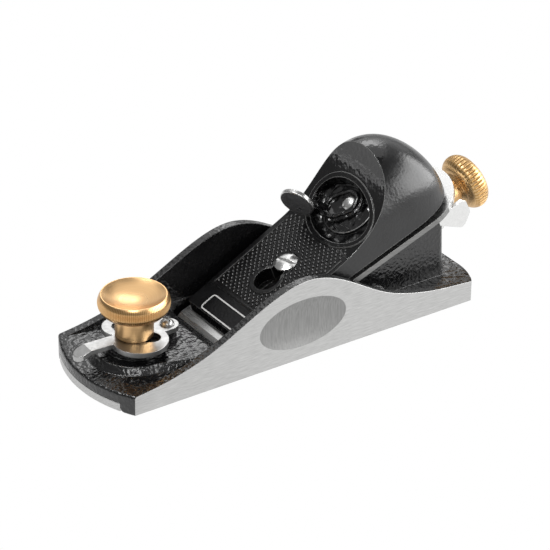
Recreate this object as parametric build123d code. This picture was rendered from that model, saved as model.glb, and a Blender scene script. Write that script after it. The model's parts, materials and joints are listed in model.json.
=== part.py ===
from build123d import *
from math import atan2, cos, degrees, radians, sin, tan
import os

# A low-angle block plane in millimetres: +X runs from toe to heel, +Z is up,
# and the origin lies on the sole, midway along it.

# Sole and side walls
SOLE_LENGTH = 160.0
SOLE_WIDTH = 52.2
TOE_BULGE = 7.0
HEEL_BULGE = 4.6
HEEL_FLAT = 24.0
WALL = 3.2
FLOOR_TOP = 7.6
NOSE_HEIGHT = 6.8
HEEL_HEIGHT = 7.6
PEAK_BEHIND_MOUTH = 29.1
PEAK_HEIGHT = 31.7
FRONT_FOOT = (42.8, 14.7)
FRONT_SHOULDER = (17.3, 27.3)
REAR_SHOULDER = (17.8, 25.6)
REAR_FOOT = (36.1, 15.2)
REAR_TAIL = (54.7, 10.1)
RECESS_LENGTH = 37.8
RECESS_HEIGHT = 19.2
RECESS_CENTRE_Z = 14.8
RECESS_AHEAD_OF_PEAK = 2.6
RECESS_DEPTH = 1.3

# Mouth, throat and bed
MOUTH_BEHIND_TOE = 52.0
BED_ANGLE = 20.5
THROAT_LENGTH = 3.2
THROAT_SLOPE = (3.8, 1.3)
THROAT_SIDE_ROOM = 1.75
BLOCK_WIDTH = 30.6
BLOCK_FRONT_U = 35.0
BLOCK_REAR_U = 97.8
BLOCK_KNEE = (102.4, -5.2)
BLOCK_KNEE_ROUND = 3.0
BLOCK_FOOT_Z = 16.0
BLOCK_FOOT_DRAFT = 1.6
BLOCK_ROUND = 2.5
BOSS_RADIUS = 4.6
BOSS_U = 71.0
BOSS_STAND = 1.8

# Adjustable toe
TOE_PLATE_THICK = 3.0
TOE_PLATE_BEVEL = 2.0
MOUTH_GAP = 3.4
TOE_TRAVEL = 2.5
STUD_BEHIND_TOE = 23.2
STUD_RADIUS = 3.0
STUD_SEAT = 1.2
PAD_TOP = 10.3
PAD_RADIUS = 14.8
PAD_SPREAD = 2.0
PAD_SIDE_STEP = 3.6
NOSE_ROUND = 1.0
RAIL_ROUND = 1.4
KNOB_BOSS_RADIUS = 10.5
KNOB_BOSS_TOP = 13.1

# Eccentric lever and its pivot screw
PIVOT_BEHIND_STUD = 13.8
PIVOT_RADIUS = 2.0
PIVOT_BOSS_RADIUS = 3.4
PIVOT_DEPTH = 7.0
PIVOT_HEAD_RADIUS = 2.5
PIVOT_HEAD_HEIGHT = 1.6
PIVOT_CROSS = (3.4, 0.8, 0.8)
PIVOT_WASHER_THICK = 0.5
ECCENTRIC_THICK = 1.9
ECCENTRIC_SWING = 25.0
ECCENTRIC_OVERRUN = 1.1
ECCENTRIC_LOBE_RADIUS = 10.2
ECCENTRIC_LOBE_SHIFT = 4.0
ECCENTRIC_HORN = 3.6
ECCENTRIC_NECK = 8.4
ECCENTRIC_ARM_WIDTH = 5.8
ECCENTRIC_ARM_TURN = -2.5
ECCENTRIC_BEND = 32.6
ECCENTRIC_REACH = 37.9
ECCENTRIC_ARM_DROP = 2.0

# Front knob
KNOB_RADIUS = 13.1
KNOB_STEM_RADIUS = 7.0
KNOB_STEM_HEIGHT = 9.0
KNOB_STEM_CHAMFER = 0.5
KNOB_RIM_CENTRE = 13.25
KNOB_RIM_HALF = 3.45
KNOB_DISH = 3.0
KNOB_DISH_RADIUS = 11.9
KNOB_LIP = 0.3
KNOB_FLUTES = 120
KNOB_FLUTE_RADIUS = 0.3

# Cutter
CUTTER_SIDE_ROOM = 2.25
CUTTER_LENGTH = 115.0
CUTTER_THICK = 2.2
CUTTER_SHOULDER_U = 97.0
CUTTER_BEVEL = 25.0
CUTTER_SETBACK = 0.6
CUTTER_SLOT = (9.0, 26.0, 60.0)
GROOVE_COUNT = 10
GROOVE_PITCH = 2.4
GROOVE_SIZE = (1.5, 12.0, 1.0)
GROOVE_FIRST_U = 76.0

# Lever cap, measured along the bed from the mouth and up from the bed
CAP_FRONT_U = 8.0
CAP_SIDE_ROOM = 0.35
CAP_SHOULDER = 15.3
CAP_DOME = 19.3
CAP_CREST_U = 85.2
CAP_TAIL_LENGTH = 24.8
CAP_TAIL_FULLNESS = 2.8
CAP_TAIL_DROP = 0.715
CAP_TAIL_SECTIONS = 14
CAP_SHELL = 2.8
CAP_LIP = 4.0
CAP_NOSE = 1.0
CAP_FACE_START = (9.6, 5.25)
CAP_PAD_SLOPE = 7.6
CAP_SCOOP_U = 55.7
CAP_SCOOP_RADIUS = 42.8
CAP_SKIRT = (3.3, 4.3)
CAP_CORNER = 4.0
CAP_SLIDE = 9.3
BOWL_CENTRE = (68.5, 16.4)
BOWL_TILT = 23.0
BOWL_SHIFT = (1.0, -1.5)
BOWL_TURN = -9.0
BOWL_HALF_LENGTH = 11.3
BOWL_SIDE_WALL = 3.8
BOWL_LIP = (2.0, 0.45)
BOWL_DEPTH = 5.5
BOWL_FLOOR = 2.0
BOWL_ROUND = 2.5
SEAT_RADIUS = 12.0
SEAT_RISE = 1.4
SEAT_ROUND = 0.3
KEYHOLE_U = 33.7
KEYHOLE_RADIUS = 5.3
KEYHOLE_RIM = (1.4, 0.5)
PAD_BORDER = (20.5, 0.8, 0.4)
PAD_BORDER_INSET = 1.6

# Lever cap screw
CAP_SCREW_RADIUS = 2.8
CAP_SCREW_HEAD_RADIUS = 4.5
CAP_SCREW_HEAD_HEIGHT = 2.0
CAP_SCREW_SUNK = 0.5
CAP_SCREW_DEPTH = 13.0
CAP_SCREW_SLOT = (1.3, 1.1)
CAP_SCREW_TURN = -74.0

# Cam lever, its rivet and the spring under the cap
CAM_BEHIND_BOWL = 5.6
CAM_RADIUS = 6.2
CAM_LENGTH = 5.0
CAM_PLATE = 1.3
CAM_HUB_RADIUS = 5.2
CAM_HUB_HEIGHT = 2.6
CAM_HUB_WALL = 1.5
CAM_DIRECTION = 136.0
CAM_NECK_WIDTH = 3.6
CAM_PADDLE_RADIUS = 6.7
CAM_PADDLE_THICK = 1.9
CAM_PADDLE_REACH = 15.6
CAM_PADDLE_RISE = 11.75
CAM_PADDLE_TURN = -21.5
CAM_PADDLE_LEAN = 12.4
RIVET_RADIUS = 2.2
RIVET_HEAD_RADIUS = 3.0
RIVET_HEAD_HEIGHT = 1.0
RIVET_COLLAR_RADIUS = 5.0
RIVET_COLLAR = 1.6
SPRING_THICK = 0.8
SPRING_WIDTH = 14.0
SPRING_ANCHOR_U = 52.5
SPRING_TIP_U = 96.0
SPRING_RIVET_RADIUS = 1.6

# Lateral lever and the depth adjuster under the cutter
LATERAL_PIVOT_U = 66.0
LATERAL_PIN_RADIUS = 2.5
LATERAL_PIN_DEPTH = 7.0
LATERAL_THICK = 1.5
LATERAL_WIDTH = 20.0
LATERAL_NOSE_RADIUS = 7.0
LATERAL_TAIL = 6.0
FIN_ROOM = 1.05
FIN_LENGTH = 13.2
FIN_DROP = 11.6
FIN_ROOT_DROP = 4.0
FIN_ROUND = 4.2
SCREW_DROP = 9.4
SCREW_RADIUS = 3.0
SCREW_JOURNAL_RADIUS = 2.5
SCREW_FRONT_U = 76.0
FLANGE_U = 103.6
FLANGE_WIDTH = 15.0
COLLAR_RADIUS = 4.2
COLLAR_LENGTH = 2.4
CARRIAGE_U = (79.5, 93.5)
CARRIAGE_WIDTH = 12.0
CARRIAGE_DROP = 14.5
NIB_WIDTH = 4.0
CHANNEL_ROOM = 1.2
DEPTH_TRAVEL = (1.0, 3.0)
REAR_KNOB_U = 123.5
REAR_KNOB_RADIUS = 11.1
REAR_KNOB_HALF = 4.5
REAR_KNOB_HUB_RADIUS = 5.6
REAR_KNOB_FLUTES = 44
REAR_KNOB_FLUTE_RADIUS = 0.5
REAR_KNOB_DISH = 1.2

# Clearances
SLIDE_GAP = 0.05
PLATE_GAP = 0.2
SIDE_GAP = 0.3
RUNNING_FIT = 0.05
SLOT_ROOM = 0.4
WASHER_LIP = 0.2
CUT_PAST = 20.0

# Places worked out from the sizes above
TOE_X = -SOLE_LENGTH / 2
HEEL_X = SOLE_LENGTH / 2
HALF_WIDTH = SOLE_WIDTH / 2
CUTTER_WIDTH = SOLE_WIDTH - 2 * (WALL + CUTTER_SIDE_ROOM)
CAP_WIDTH = CUTTER_WIDTH - 2 * CAP_SIDE_ROOM
TOE_PLATE_WIDTH = CUTTER_WIDTH - SIDE_GAP
PAD_WIDTH = SOLE_WIDTH - 2 * (WALL + PAD_SIDE_STEP)
FIN_SPACING = BLOCK_WIDTH + LATERAL_THICK + 2 * FIN_ROOM
CORNER_FRONT = TOE_X + TOE_BULGE
CORNER_REAR = HEEL_X - HEEL_BULGE
MOUTH_X = TOE_X + MOUTH_BEHIND_TOE
PEAK_X = MOUTH_X + PEAK_BEHIND_MOUTH
THROAT_X = MOUTH_X - THROAT_LENGTH
THROAT_HALF = CUTTER_WIDTH / 2 + THROAT_SIDE_ROOM
STUD_X = TOE_X + STUD_BEHIND_TOE
PIVOT_X = STUD_X + PIVOT_BEHIND_STUD
ECCENTRIC_BASE = KNOB_BOSS_TOP + SLIDE_GAP
KNOB_BASE = ECCENTRIC_BASE + ECCENTRIC_THICK + SLIDE_GAP
BED = Plane(
    origin=(MOUTH_X, 0, 0),
    x_dir=(cos(radians(BED_ANGLE)), 0, sin(radians(BED_ANGLE))),
    z_dir=(-sin(radians(BED_ANGLE)), 0, cos(radians(BED_ANGLE))),
)
CUTTER_BOTTOM = SLIDE_GAP
CUTTER_TOP = CUTTER_BOTTOM + CUTTER_THICK
LATERAL_TOP = CUTTER_BOTTOM - SLIDE_GAP
LATERAL_BOTTOM = LATERAL_TOP - LATERAL_THICK
BLOCK_STEP_N = LATERAL_BOTTOM - SLIDE_GAP
BLOCK_STEP_U = LATERAL_PIVOT_U - LATERAL_NOSE_RADIUS - 2 * SIDE_GAP
CHANNEL_WIDTH = CARRIAGE_WIDTH + 2 * CHANNEL_ROOM
CHANNEL_FRONT_U = SCREW_FRONT_U - 3 * CHANNEL_ROOM
CHANNEL_FLOOR_N = -CARRIAGE_DROP - CHANNEL_ROOM
CAP_SCREW_U = KEYHOLE_U + CAP_SLIDE
PAD_TAN = tan(radians(CAP_PAD_SLOPE))
BOWL_FLOOR_N = -BOWL_DEPTH
CAM_FLOOR_N = BOWL_FLOOR_N + SEAT_RISE


def bed_point(u, n):
    """X and Z of a point given along the bed and up from it."""
    point = BED.from_local_coords((u, 0, n))
    return (point.X, point.Z)


def pad_height(u):
    """Height of the cap's sloping pad above the bed."""
    return CAP_FACE_START[1] + (u - CAP_FACE_START[0]) * PAD_TAN


def across(points, half_width):
    """A prism of a closed outline in X and Z, symmetrical about Y."""
    face = Plane.XZ * make_face(Polyline(*points, close=True))
    return extrude(face, amount=half_width, both=True)


def box_between(x, y, z):
    """A box between the low and high ends of each axis."""
    block = Box(x[1] - x[0], y[1] - y[0], z[1] - z[0])
    return Pos((x[0] + x[1]) / 2, (y[0] + y[1]) / 2, (z[0] + z[1]) / 2) * block


def centred(width):
    """The low and high ends of a width that straddles the middle."""
    return (-width / 2, width / 2)


def rod(radius, low, high, x=0, y=0):
    """A round bar that stands on Z between two heights."""
    return Pos(x, y, (low + high) / 2) * Cylinder(radius, high - low)


def dome(radius, height, base, x=0, y=0):
    """A shallow spherical cap that stands on Z."""
    ball = (radius**2 + height**2) / (2 * height)
    cap = Sphere(ball) & (Pos(0, 0, ball) * Box(4 * ball, 4 * ball, 2 * height))
    return Pos(x, y, base + height - ball) * cap


def dish(radius, depth, top):
    """The ball that hollows a round face at a given height on Z."""
    ball = (radius**2 + depth**2) / (2 * depth)
    return Pos(0, 0, top - depth + ball) * Sphere(ball)


def long_hole(radius, start, end, low, high):
    """A slot with round ends that runs along X from one centre to another."""
    middle = box_between((start, end), (-radius, radius), (low, high))
    return middle + rod(radius, low, high, start) + rod(radius, low, high, end)


def sole_face():
    """The sole seen from above: an arched toe and a heel with round corners."""
    toe = ThreePointArc((CORNER_FRONT, -HALF_WIDTH), (TOE_X, 0), (CORNER_FRONT, HALF_WIDTH))
    far = Line((CORNER_FRONT, HALF_WIDTH), (CORNER_REAR, HALF_WIDTH))
    heel_far = TangentArc((HEEL_X, HEEL_FLAT / 2), (CORNER_REAR, HALF_WIDTH), tangent=(0, 1))
    heel = Line((HEEL_X, HEEL_FLAT / 2), (HEEL_X, -HEEL_FLAT / 2))
    heel_near = TangentArc((HEEL_X, -HEEL_FLAT / 2), (CORNER_REAR, -HALF_WIDTH), tangent=(0, -1))
    near = Line((CORNER_REAR, -HALF_WIDTH), (CORNER_FRONT, -HALF_WIDTH))
    return make_face([toe, far, heel_far, heel, heel_near, near])


def wall_profile():
    """The side of the casting: low ends and a hump that guards the cutter."""
    front, rear = TOE_X - 1, HEEL_X + 1
    crest = Spline(
        (front, NOSE_HEIGHT),
        (PEAK_X - FRONT_FOOT[0], FRONT_FOOT[1]),
        (PEAK_X - FRONT_SHOULDER[0], FRONT_SHOULDER[1]),
        (PEAK_X, PEAK_HEIGHT),
        (PEAK_X + REAR_SHOULDER[0], REAR_SHOULDER[1]),
        (PEAK_X + REAR_FOOT[0], REAR_FOOT[1]),
        (PEAK_X + REAR_TAIL[0], REAR_TAIL[1]),
        (rear, HEEL_HEIGHT),
        tangents=((1, 0.06), (1, -0.1)),
    )
    base = Polyline((rear, HEEL_HEIGHT), (rear, 0), (front, 0), (front, NOSE_HEIGHT))
    return extrude(Plane.XZ * make_face([crest, *base.edges()]), amount=SOLE_WIDTH, both=True)


def finger_recess(side):
    """A shallow oval dish ground into one side wall."""
    drop = RECESS_DEPTH / 10
    ball = (1 + drop**2) / (2 * drop)
    dish = scale(Sphere(ball), by=(RECESS_LENGTH / 2, 10, RECESS_HEIGHT / 2))
    centre_y = side * (HALF_WIDTH + 10 * (ball - drop))
    return Pos(PEAK_X - RECESS_AHEAD_OF_PEAK, centre_y, RECESS_CENTRE_Z) * dish


def bed_block():
    """The pillar that carries the cutter's rear half, with a groove for the adjuster."""
    front_x = bed_point(BLOCK_FRONT_U, 0)[0]
    rear_height = bed_point(BLOCK_REAR_U, 0)[1] - BLOCK_FOOT_Z
    foot = bed_point(BLOCK_REAR_U, -rear_height / cos(radians(BED_ANGLE)))
    outline = [
        (front_x, FLOOR_TOP - 1),
        bed_point(BLOCK_FRONT_U, 0),
        bed_point(BLOCK_STEP_U, 0),
        bed_point(BLOCK_STEP_U, BLOCK_STEP_N),
        bed_point(BLOCK_REAR_U, BLOCK_STEP_N),
        bed_point(*BLOCK_KNEE),
        foot,
        (foot[0] + BLOCK_FOOT_DRAFT, FLOOR_TOP - 1),
    ]
    block = across(outline, BLOCK_WIDTH / 2)
    knee_x, knee_z = bed_point(*BLOCK_KNEE)
    knee = block.edges().filter_by(Axis.Y).sort_by_distance((knee_x, 0, knee_z))[0]
    block = fillet(knee, BLOCK_KNEE_ROUND)
    corners = block.edges().filter_by_position(Axis.X, bed_point(BLOCK_REAR_U, 0)[0], HEEL_X)
    corners = corners.filter_by(lambda edge: abs(edge.center().Y) > BLOCK_WIDTH / 2 - 0.01)
    block = fillet(corners.filter_by(lambda edge: edge.length > BLOCK_ROUND), BLOCK_ROUND)
    boss_x = bed_point(BOSS_U, 0)[0]
    boss = Pos(boss_x, 0, FLOOR_TOP) * Rot(90, 0, 0) * Cylinder(BOSS_RADIUS, BLOCK_WIDTH + 2 * BOSS_STAND)
    block += boss & box_between((TOE_X, HEEL_X), (-HALF_WIDTH, HALF_WIDTH), (FLOOR_TOP - 1, PEAK_HEIGHT))
    channel_length = (CHANNEL_FRONT_U, BLOCK_REAR_U + CUT_PAST)
    channel = box_between(channel_length, centred(CHANNEL_WIDTH), (CHANNEL_FLOOR_N, CUT_PAST))
    return block - BED.location * channel


def toe_pad():
    """The raised deck under the eccentric lever: a round end that flares out toward the throat."""
    rise = PAD_TOP - FLOOR_TOP
    base = FLOOR_TOP - 1
    foot = PAD_RADIUS + PAD_SPREAD * (PAD_TOP - base) / rise
    pad = Pos(STUD_X, 0, (base + PAD_TOP) / 2) * Cone(foot, PAD_RADIUS, PAD_TOP - base)
    half = PAD_WIDTH / 2
    outline = [
        (STUD_X, -PAD_RADIUS),
        (PIVOT_X, -half),
        (THROAT_X, -half),
        (THROAT_X, half),
        (PIVOT_X, half),
        (STUD_X, PAD_RADIUS),
    ]
    flare = Pos(0, 0, PAD_TOP) * make_face(Polyline(*outline, close=True))
    slope = degrees(atan2(PAD_SPREAD, rise))
    return pad + extrude(flare, amount=PAD_TOP - base, dir=(0, 0, -1), taper=-slope)


def body():
    """The cast iron body: sole, side walls, deck, throat and bed."""
    casting = extrude(sole_face(), amount=PEAK_HEIGHT + 1) & wall_profile()
    nose = casting.edges().filter_by_position(Axis.Z, NOSE_HEIGHT / 2, PEAK_HEIGHT).sort_by(Axis.X)[0]
    casting = fillet(nose, NOSE_ROUND)
    inside = centred(SOLE_WIDTH - 2 * WALL)
    length = (TOE_X - CUT_PAST, HEEL_X + CUT_PAST)
    casting -= box_between(length, inside, (FLOOR_TOP, PEAK_HEIGHT + CUT_PAST))
    casting += toe_pad()
    casting += rod(KNOB_BOSS_RADIUS, PAD_TOP - 1, KNOB_BOSS_TOP, STUD_X)
    casting += rod(PIVOT_BOSS_RADIUS, PAD_TOP - 1, KNOB_BOSS_TOP, PIVOT_X)
    casting += bed_block()
    top = PEAK_HEIGHT + CUT_PAST
    throat = [
        (THROAT_X, -1),
        (THROAT_X, PAD_TOP - THROAT_SLOPE[1]),
        (THROAT_X - THROAT_SLOPE[0], PAD_TOP),
        (THROAT_X - THROAT_SLOPE[0], top),
        bed_point(top / sin(radians(BED_ANGLE)), 0),
        bed_point(0, 0),
        (MOUTH_X, -1),
    ]
    casting -= across(throat, THROAT_HALF)
    channel = centred(TOE_PLATE_WIDTH + 2 * SIDE_GAP)
    casting -= box_between((TOE_X - CUT_PAST, THROAT_X + 1), channel, (-1, TOE_PLATE_THICK + PLATE_GAP))
    rails = casting.edges().filter_by(Axis.X).filter_by_position(Axis.Z, -0.01, 0.01)
    rails = rails.filter_by(lambda edge: abs(abs(edge.center().Y) - channel[1]) < 0.01)
    casting = fillet(rails, RAIL_ROUND)
    stud_room = STUD_RADIUS + SLOT_ROOM
    casting -= long_hole(stud_room, STUD_X - TOE_TRAVEL, STUD_X + TOE_TRAVEL, 0, KNOB_BOSS_TOP + 1)
    casting -= rod(PIVOT_RADIUS, KNOB_BOSS_TOP - PIVOT_DEPTH, KNOB_BOSS_TOP + 1, PIVOT_X)
    casting -= BED.location * rod(CAP_SCREW_RADIUS, -CAP_SCREW_DEPTH, 1, CAP_SCREW_U)
    casting -= BED.location * rod(LATERAL_PIN_RADIUS, BLOCK_STEP_N - LATERAL_PIN_DEPTH, 1, LATERAL_PIVOT_U)
    for side in (-1, 1):
        casting -= finger_recess(side)
    return casting


def toe_plate():
    """The sliding sole plate in front of the mouth, bevelled at its rear edge."""
    rear_x = MOUTH_X - MOUTH_GAP
    plate = extrude(sole_face(), amount=TOE_PLATE_THICK)
    plate &= box_between((TOE_X - 1, rear_x), centred(TOE_PLATE_WIDTH), (0, TOE_PLATE_THICK))
    edge = plate.edges().filter_by(Axis.Y).group_by(Axis.X)[-1].sort_by(Axis.Z)[-1]
    plate = chamfer(edge, TOE_PLATE_BEVEL)
    return plate - rod(STUD_RADIUS, STUD_SEAT, TOE_PLATE_THICK + 1, STUD_X)


def toe_stud():
    """The threaded stud that stands in the toe plate and carries the front knob."""
    top = KNOB_BASE + KNOB_RIM_CENTRE - KNOB_DISH
    stud = rod(STUD_RADIUS, STUD_SEAT, top, STUD_X)
    return chamfer(stud.edges().sort_by(Axis.Z)[-1], STUD_RADIUS / 4)


def front_knob():
    """The brass knob: a plain stem, a finely knurled rim and a dished top."""
    rim_low = KNOB_RIM_CENTRE - KNOB_RIM_HALF
    rim_high = KNOB_RIM_CENTRE + KNOB_RIM_HALF
    outline = [
        Line((0, 0), (KNOB_STEM_RADIUS - KNOB_STEM_CHAMFER, 0)),
        Line((KNOB_STEM_RADIUS - KNOB_STEM_CHAMFER, 0), (KNOB_STEM_RADIUS, KNOB_STEM_CHAMFER)),
        Line((KNOB_STEM_RADIUS, KNOB_STEM_CHAMFER), (KNOB_STEM_RADIUS, KNOB_STEM_HEIGHT)),
        Line((KNOB_STEM_RADIUS, KNOB_STEM_HEIGHT), (KNOB_RADIUS - KNOB_RIM_HALF / 2, rim_low)),
        ThreePointArc(
            (KNOB_RADIUS - KNOB_RIM_HALF / 2, rim_low),
            (KNOB_RADIUS, KNOB_RIM_CENTRE),
            (KNOB_DISH_RADIUS, rim_high),
        ),
        Line((KNOB_DISH_RADIUS, rim_high), (0, rim_high)),
        Line((0, rim_high), (0, 0)),
    ]
    knob = revolve(Plane.XZ * make_face(outline), Axis.Z)
    knob -= dish(KNOB_DISH_RADIUS - KNOB_LIP, KNOB_DISH, rim_high)
    flute = Pos(KNOB_RADIUS, 0, KNOB_RIM_CENTRE) * Cylinder(KNOB_FLUTE_RADIUS, KNOB_RIM_HALF * 1.5)
    knob -= [Rot(0, 0, 360 / KNOB_FLUTES * i) * flute for i in range(KNOB_FLUTES)]
    bore_top = KNOB_RIM_CENTRE - KNOB_DISH + RUNNING_FIT
    knob -= rod(STUD_RADIUS + RUNNING_FIT, -1, bore_top)
    return Pos(STUD_X, 0, KNOB_BASE) * knob


def stud_path(swing):
    """Where the stud stands in the lever's own frame when the lever has swung."""
    reach = PIVOT_BEHIND_STUD + TOE_TRAVEL * swing / ECCENTRIC_SWING
    angle = radians(180 - swing)
    return (reach * cos(angle), reach * sin(angle))


def eccentric_lever():
    """The flat lever whose curved slot draws the stud along as it swings."""
    end = ECCENTRIC_SWING * ECCENTRIC_OVERRUN
    path = Spline(*[stud_path(end * (i / 3 - 1)) for i in range(7)])
    slot_half = STUD_RADIUS + SLOT_ROOM
    ends = (stud_path(-end), stud_path(end))
    slot = trace(path, 2 * slot_half) + [Pos(*place) * Circle(slot_half) for place in ends]
    plate = Pos(-PIVOT_BEHIND_STUD, -ECCENTRIC_LOBE_SHIFT) * Circle(ECCENTRIC_LOBE_RADIUS)
    plate += Pos(*ends[1]) * Circle(slot_half + ECCENTRIC_HORN)
    plate += Circle(ECCENTRIC_NECK / 2)
    plate += Pos(-PIVOT_BEHIND_STUD / 2, 0) * Rectangle(PIVOT_BEHIND_STUD, ECCENTRIC_NECK)
    arm_length = ECCENTRIC_BEND - PIVOT_BEHIND_STUD
    arm = Pos(-PIVOT_BEHIND_STUD - arm_length / 2, 0) * Rectangle(arm_length, ECCENTRIC_ARM_WIDTH)
    plate += Rot(0, 0, ECCENTRIC_ARM_TURN) * arm
    lever = extrude(plate - slot, amount=ECCENTRIC_THICK)
    tip = across(
        [
            (-ECCENTRIC_BEND, 0),
            (-ECCENTRIC_BEND, ECCENTRIC_THICK),
            (-ECCENTRIC_REACH, ECCENTRIC_THICK - ECCENTRIC_ARM_DROP),
            (-ECCENTRIC_REACH, -ECCENTRIC_ARM_DROP),
        ],
        ECCENTRIC_ARM_WIDTH / 2,
    )
    tip = fillet(tip.edges().filter_by(Axis.Z).group_by(Axis.X)[0], ECCENTRIC_ARM_WIDTH / 2 - SLIDE_GAP)
    lever += Rot(0, 0, ECCENTRIC_ARM_TURN) * tip
    lever -= rod(PIVOT_RADIUS + RUNNING_FIT, -1, ECCENTRIC_THICK + 1)
    return Pos(PIVOT_X, 0, ECCENTRIC_BASE) * lever


def pivot_washer():
    """The thin washer between the eccentric lever and its screw head."""
    base = ECCENTRIC_BASE + ECCENTRIC_THICK + SLIDE_GAP
    ring = rod(PIVOT_HEAD_RADIUS + WASHER_LIP, base, base + PIVOT_WASHER_THICK, PIVOT_X)
    return ring - rod(PIVOT_RADIUS, base - 1, base + 1, PIVOT_X)


def eccentric_pivot_screw():
    """The cross-recessed screw that the eccentric lever swings on."""
    seat = ECCENTRIC_BASE + ECCENTRIC_THICK + SLIDE_GAP + PIVOT_WASHER_THICK
    screw = rod(PIVOT_RADIUS, KNOB_BOSS_TOP - PIVOT_DEPTH, seat, PIVOT_X)
    screw += dome(PIVOT_HEAD_RADIUS, PIVOT_HEAD_HEIGHT, seat, PIVOT_X)
    length, width, depth = PIVOT_CROSS
    blade = Pos(PIVOT_X, 0, seat + PIVOT_HEAD_HEIGHT) * Box(length, width, 2 * depth)
    return screw - blade - Pos(PIVOT_X, 0, seat + PIVOT_HEAD_HEIGHT) * Box(width, length, 2 * depth)


def cutter():
    """The cutter: bevelled edge up, a slot for the cap screw and adjuster grooves beneath."""
    half = CUTTER_WIDTH / 2
    start = CUTTER_SETBACK
    tip = start + CUTTER_LENGTH
    outline = [
        Line((start, -half), (CUTTER_SHOULDER_U, -half)),
        ThreePointArc((CUTTER_SHOULDER_U, -half), (tip, 0), (CUTTER_SHOULDER_U, half)),
        Line((CUTTER_SHOULDER_U, half), (start, half)),
        Line((start, half), (start, -half)),
    ]
    blade = Pos(0, 0, CUTTER_BOTTOM) * extrude(make_face(outline), amount=CUTTER_THICK)
    bevel = CUTTER_THICK / tan(radians(CUTTER_BEVEL))
    blade -= across(
        [
            (start - 1, CUTTER_BOTTOM - 1),
            (start, CUTTER_BOTTOM),
            (start + bevel, CUTTER_TOP),
            (start - 1, CUTTER_TOP),
        ],
        CUTTER_WIDTH,
    )
    width, slot_start, slot_end = CUTTER_SLOT
    blade -= long_hole(width / 2, slot_start, slot_end, -1, CUTTER_TOP + 1)
    length, across_y, depth = GROOVE_SIZE
    for i in range(GROOVE_COUNT):
        u = GROOVE_FIRST_U + GROOVE_PITCH * i
        blade -= Pos(u, 0, CUTTER_BOTTOM) * Box(length, across_y, 2 * depth)
    return BED.location * blade


def cap_section(share, inset):
    """The cap's cross-section at one share of its tail: straight sides under a half oval."""
    taper = (1 - share**CAP_TAIL_FULLNESS) ** (1 / CAP_TAIL_FULLNESS)
    half, rise = (CAP_WIDTH / 2 - inset) * taper, (CAP_DOME - inset) * taper
    shoulder = CAP_SHOULDER * (1 - CAP_TAIL_DROP * share**2)
    u = CAP_CREST_U + (CAP_TAIL_LENGTH - inset) * share
    plane = Plane(origin=(u, 0, 0), x_dir=(0, 1, 0), z_dir=(1, 0, 0))
    sides = Polyline((-half, shoulder), (-half, 0), (half, 0), (half, shoulder))
    crown = EllipticalCenterArc((0, shoulder), half, rise, arc_size=180)
    return plane * make_face([*sides.edges(), crown])


def cap_form(inset, front):
    """The cap's smooth outer form, or the same form drawn in by a wall."""
    steps = [90 - 87 * i / (CAP_TAIL_SECTIONS - 1) for i in range(CAP_TAIL_SECTIONS)]
    shares = [cos(radians(step)) ** (2 / CAP_TAIL_FULLNESS) for step in steps]
    shares[0] = 0.0
    sections = [cap_section(share, inset) for share in shares]
    return loft(sections) + extrude(sections[0], amount=front - CAP_CREST_U)


def cap_profile(inset):
    """The cap from the side: front lip, sloping pad, scooped hood face and skirt."""
    rear = CAP_CREST_U + CAP_TAIL_LENGTH + 1
    slope = radians(CAP_PAD_SLOPE)
    centre_u = CAP_SCOOP_U - CAP_SCOOP_RADIUS * sin(slope)
    centre_n = pad_height(CAP_SCOOP_U) + CAP_SCOOP_RADIUS * cos(slope)
    crest = centre_n + CUT_PAST
    radius = CAP_SCOOP_RADIUS + inset
    scoop = CenterArc((centre_u, centre_n), radius, CAP_PAD_SLOPE - 90, 90 - CAP_PAD_SLOPE)
    back = [(rear, crest), (centre_u + radius, crest), (centre_u + radius, centre_n)]
    pad_end = (centre_u + radius * sin(slope), centre_n - radius * cos(slope))
    if inset > 0:
        front = CAP_FRONT_U + CAP_LIP + CAP_SHELL
        outline = [pad_end, (front, pad_height(front) - inset), (front, 0), (rear, 0), *back]
    else:
        lip = CAP_FRONT_U + CAP_LIP
        lip_n = CUTTER_TOP + SLIDE_GAP
        nose = [(CAP_FRONT_U, lip_n + CAP_NOSE), (CAP_FRONT_U, lip_n), (lip, lip_n), (lip + 1, CAP_SKIRT[0])]
        outline = [pad_end, CAP_FACE_START, *nose, (rear, CAP_SKIRT[1]), *back]
    face = make_face([scoop, *Polyline(*outline).edges()])
    return extrude(Plane.XZ * face, amount=CAP_WIDTH, both=True)


def bowl_plane():
    """The tilted plane of the bowl's rim, at the bowl's centre."""
    tilt = radians(BOWL_TILT)
    return Plane(
        origin=(BOWL_CENTRE[0], 0, BOWL_CENTRE[1]),
        x_dir=(cos(tilt), 0, sin(tilt)),
        z_dir=(-sin(tilt), 0, cos(tilt)),
    )


def pad_plane():
    """The plane of the cap's sloping pad, with its origin at the pad's front."""
    slope = radians(CAP_PAD_SLOPE)
    return Plane(
        origin=(CAP_FACE_START[0], 0, CAP_FACE_START[1]),
        x_dir=(cos(slope), 0, sin(slope)),
        z_dir=(-sin(slope), 0, cos(slope)),
    )


def bowl_prism(grow, low, high):
    """A prism of the bowl's slanted oval, widened all round, between two heights on the bowl's plane."""
    half_width = CAP_WIDTH / 2 - BOWL_SIDE_WALL
    oval = Rot(0, 0, BOWL_TURN) * Ellipse(BOWL_HALF_LENGTH + grow, half_width + grow)
    return extrude(Pos(*BOWL_SHIFT, low) * oval, amount=high - low)


def bowl_lip():
    """The raised lip round the bowl, following the scooped face."""
    wide, height = BOWL_LIP
    ring = bowl_plane().location * bowl_prism(wide, BOWL_FLOOR_N, CUT_PAST)
    return ring & cap_profile(-height)


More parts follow.
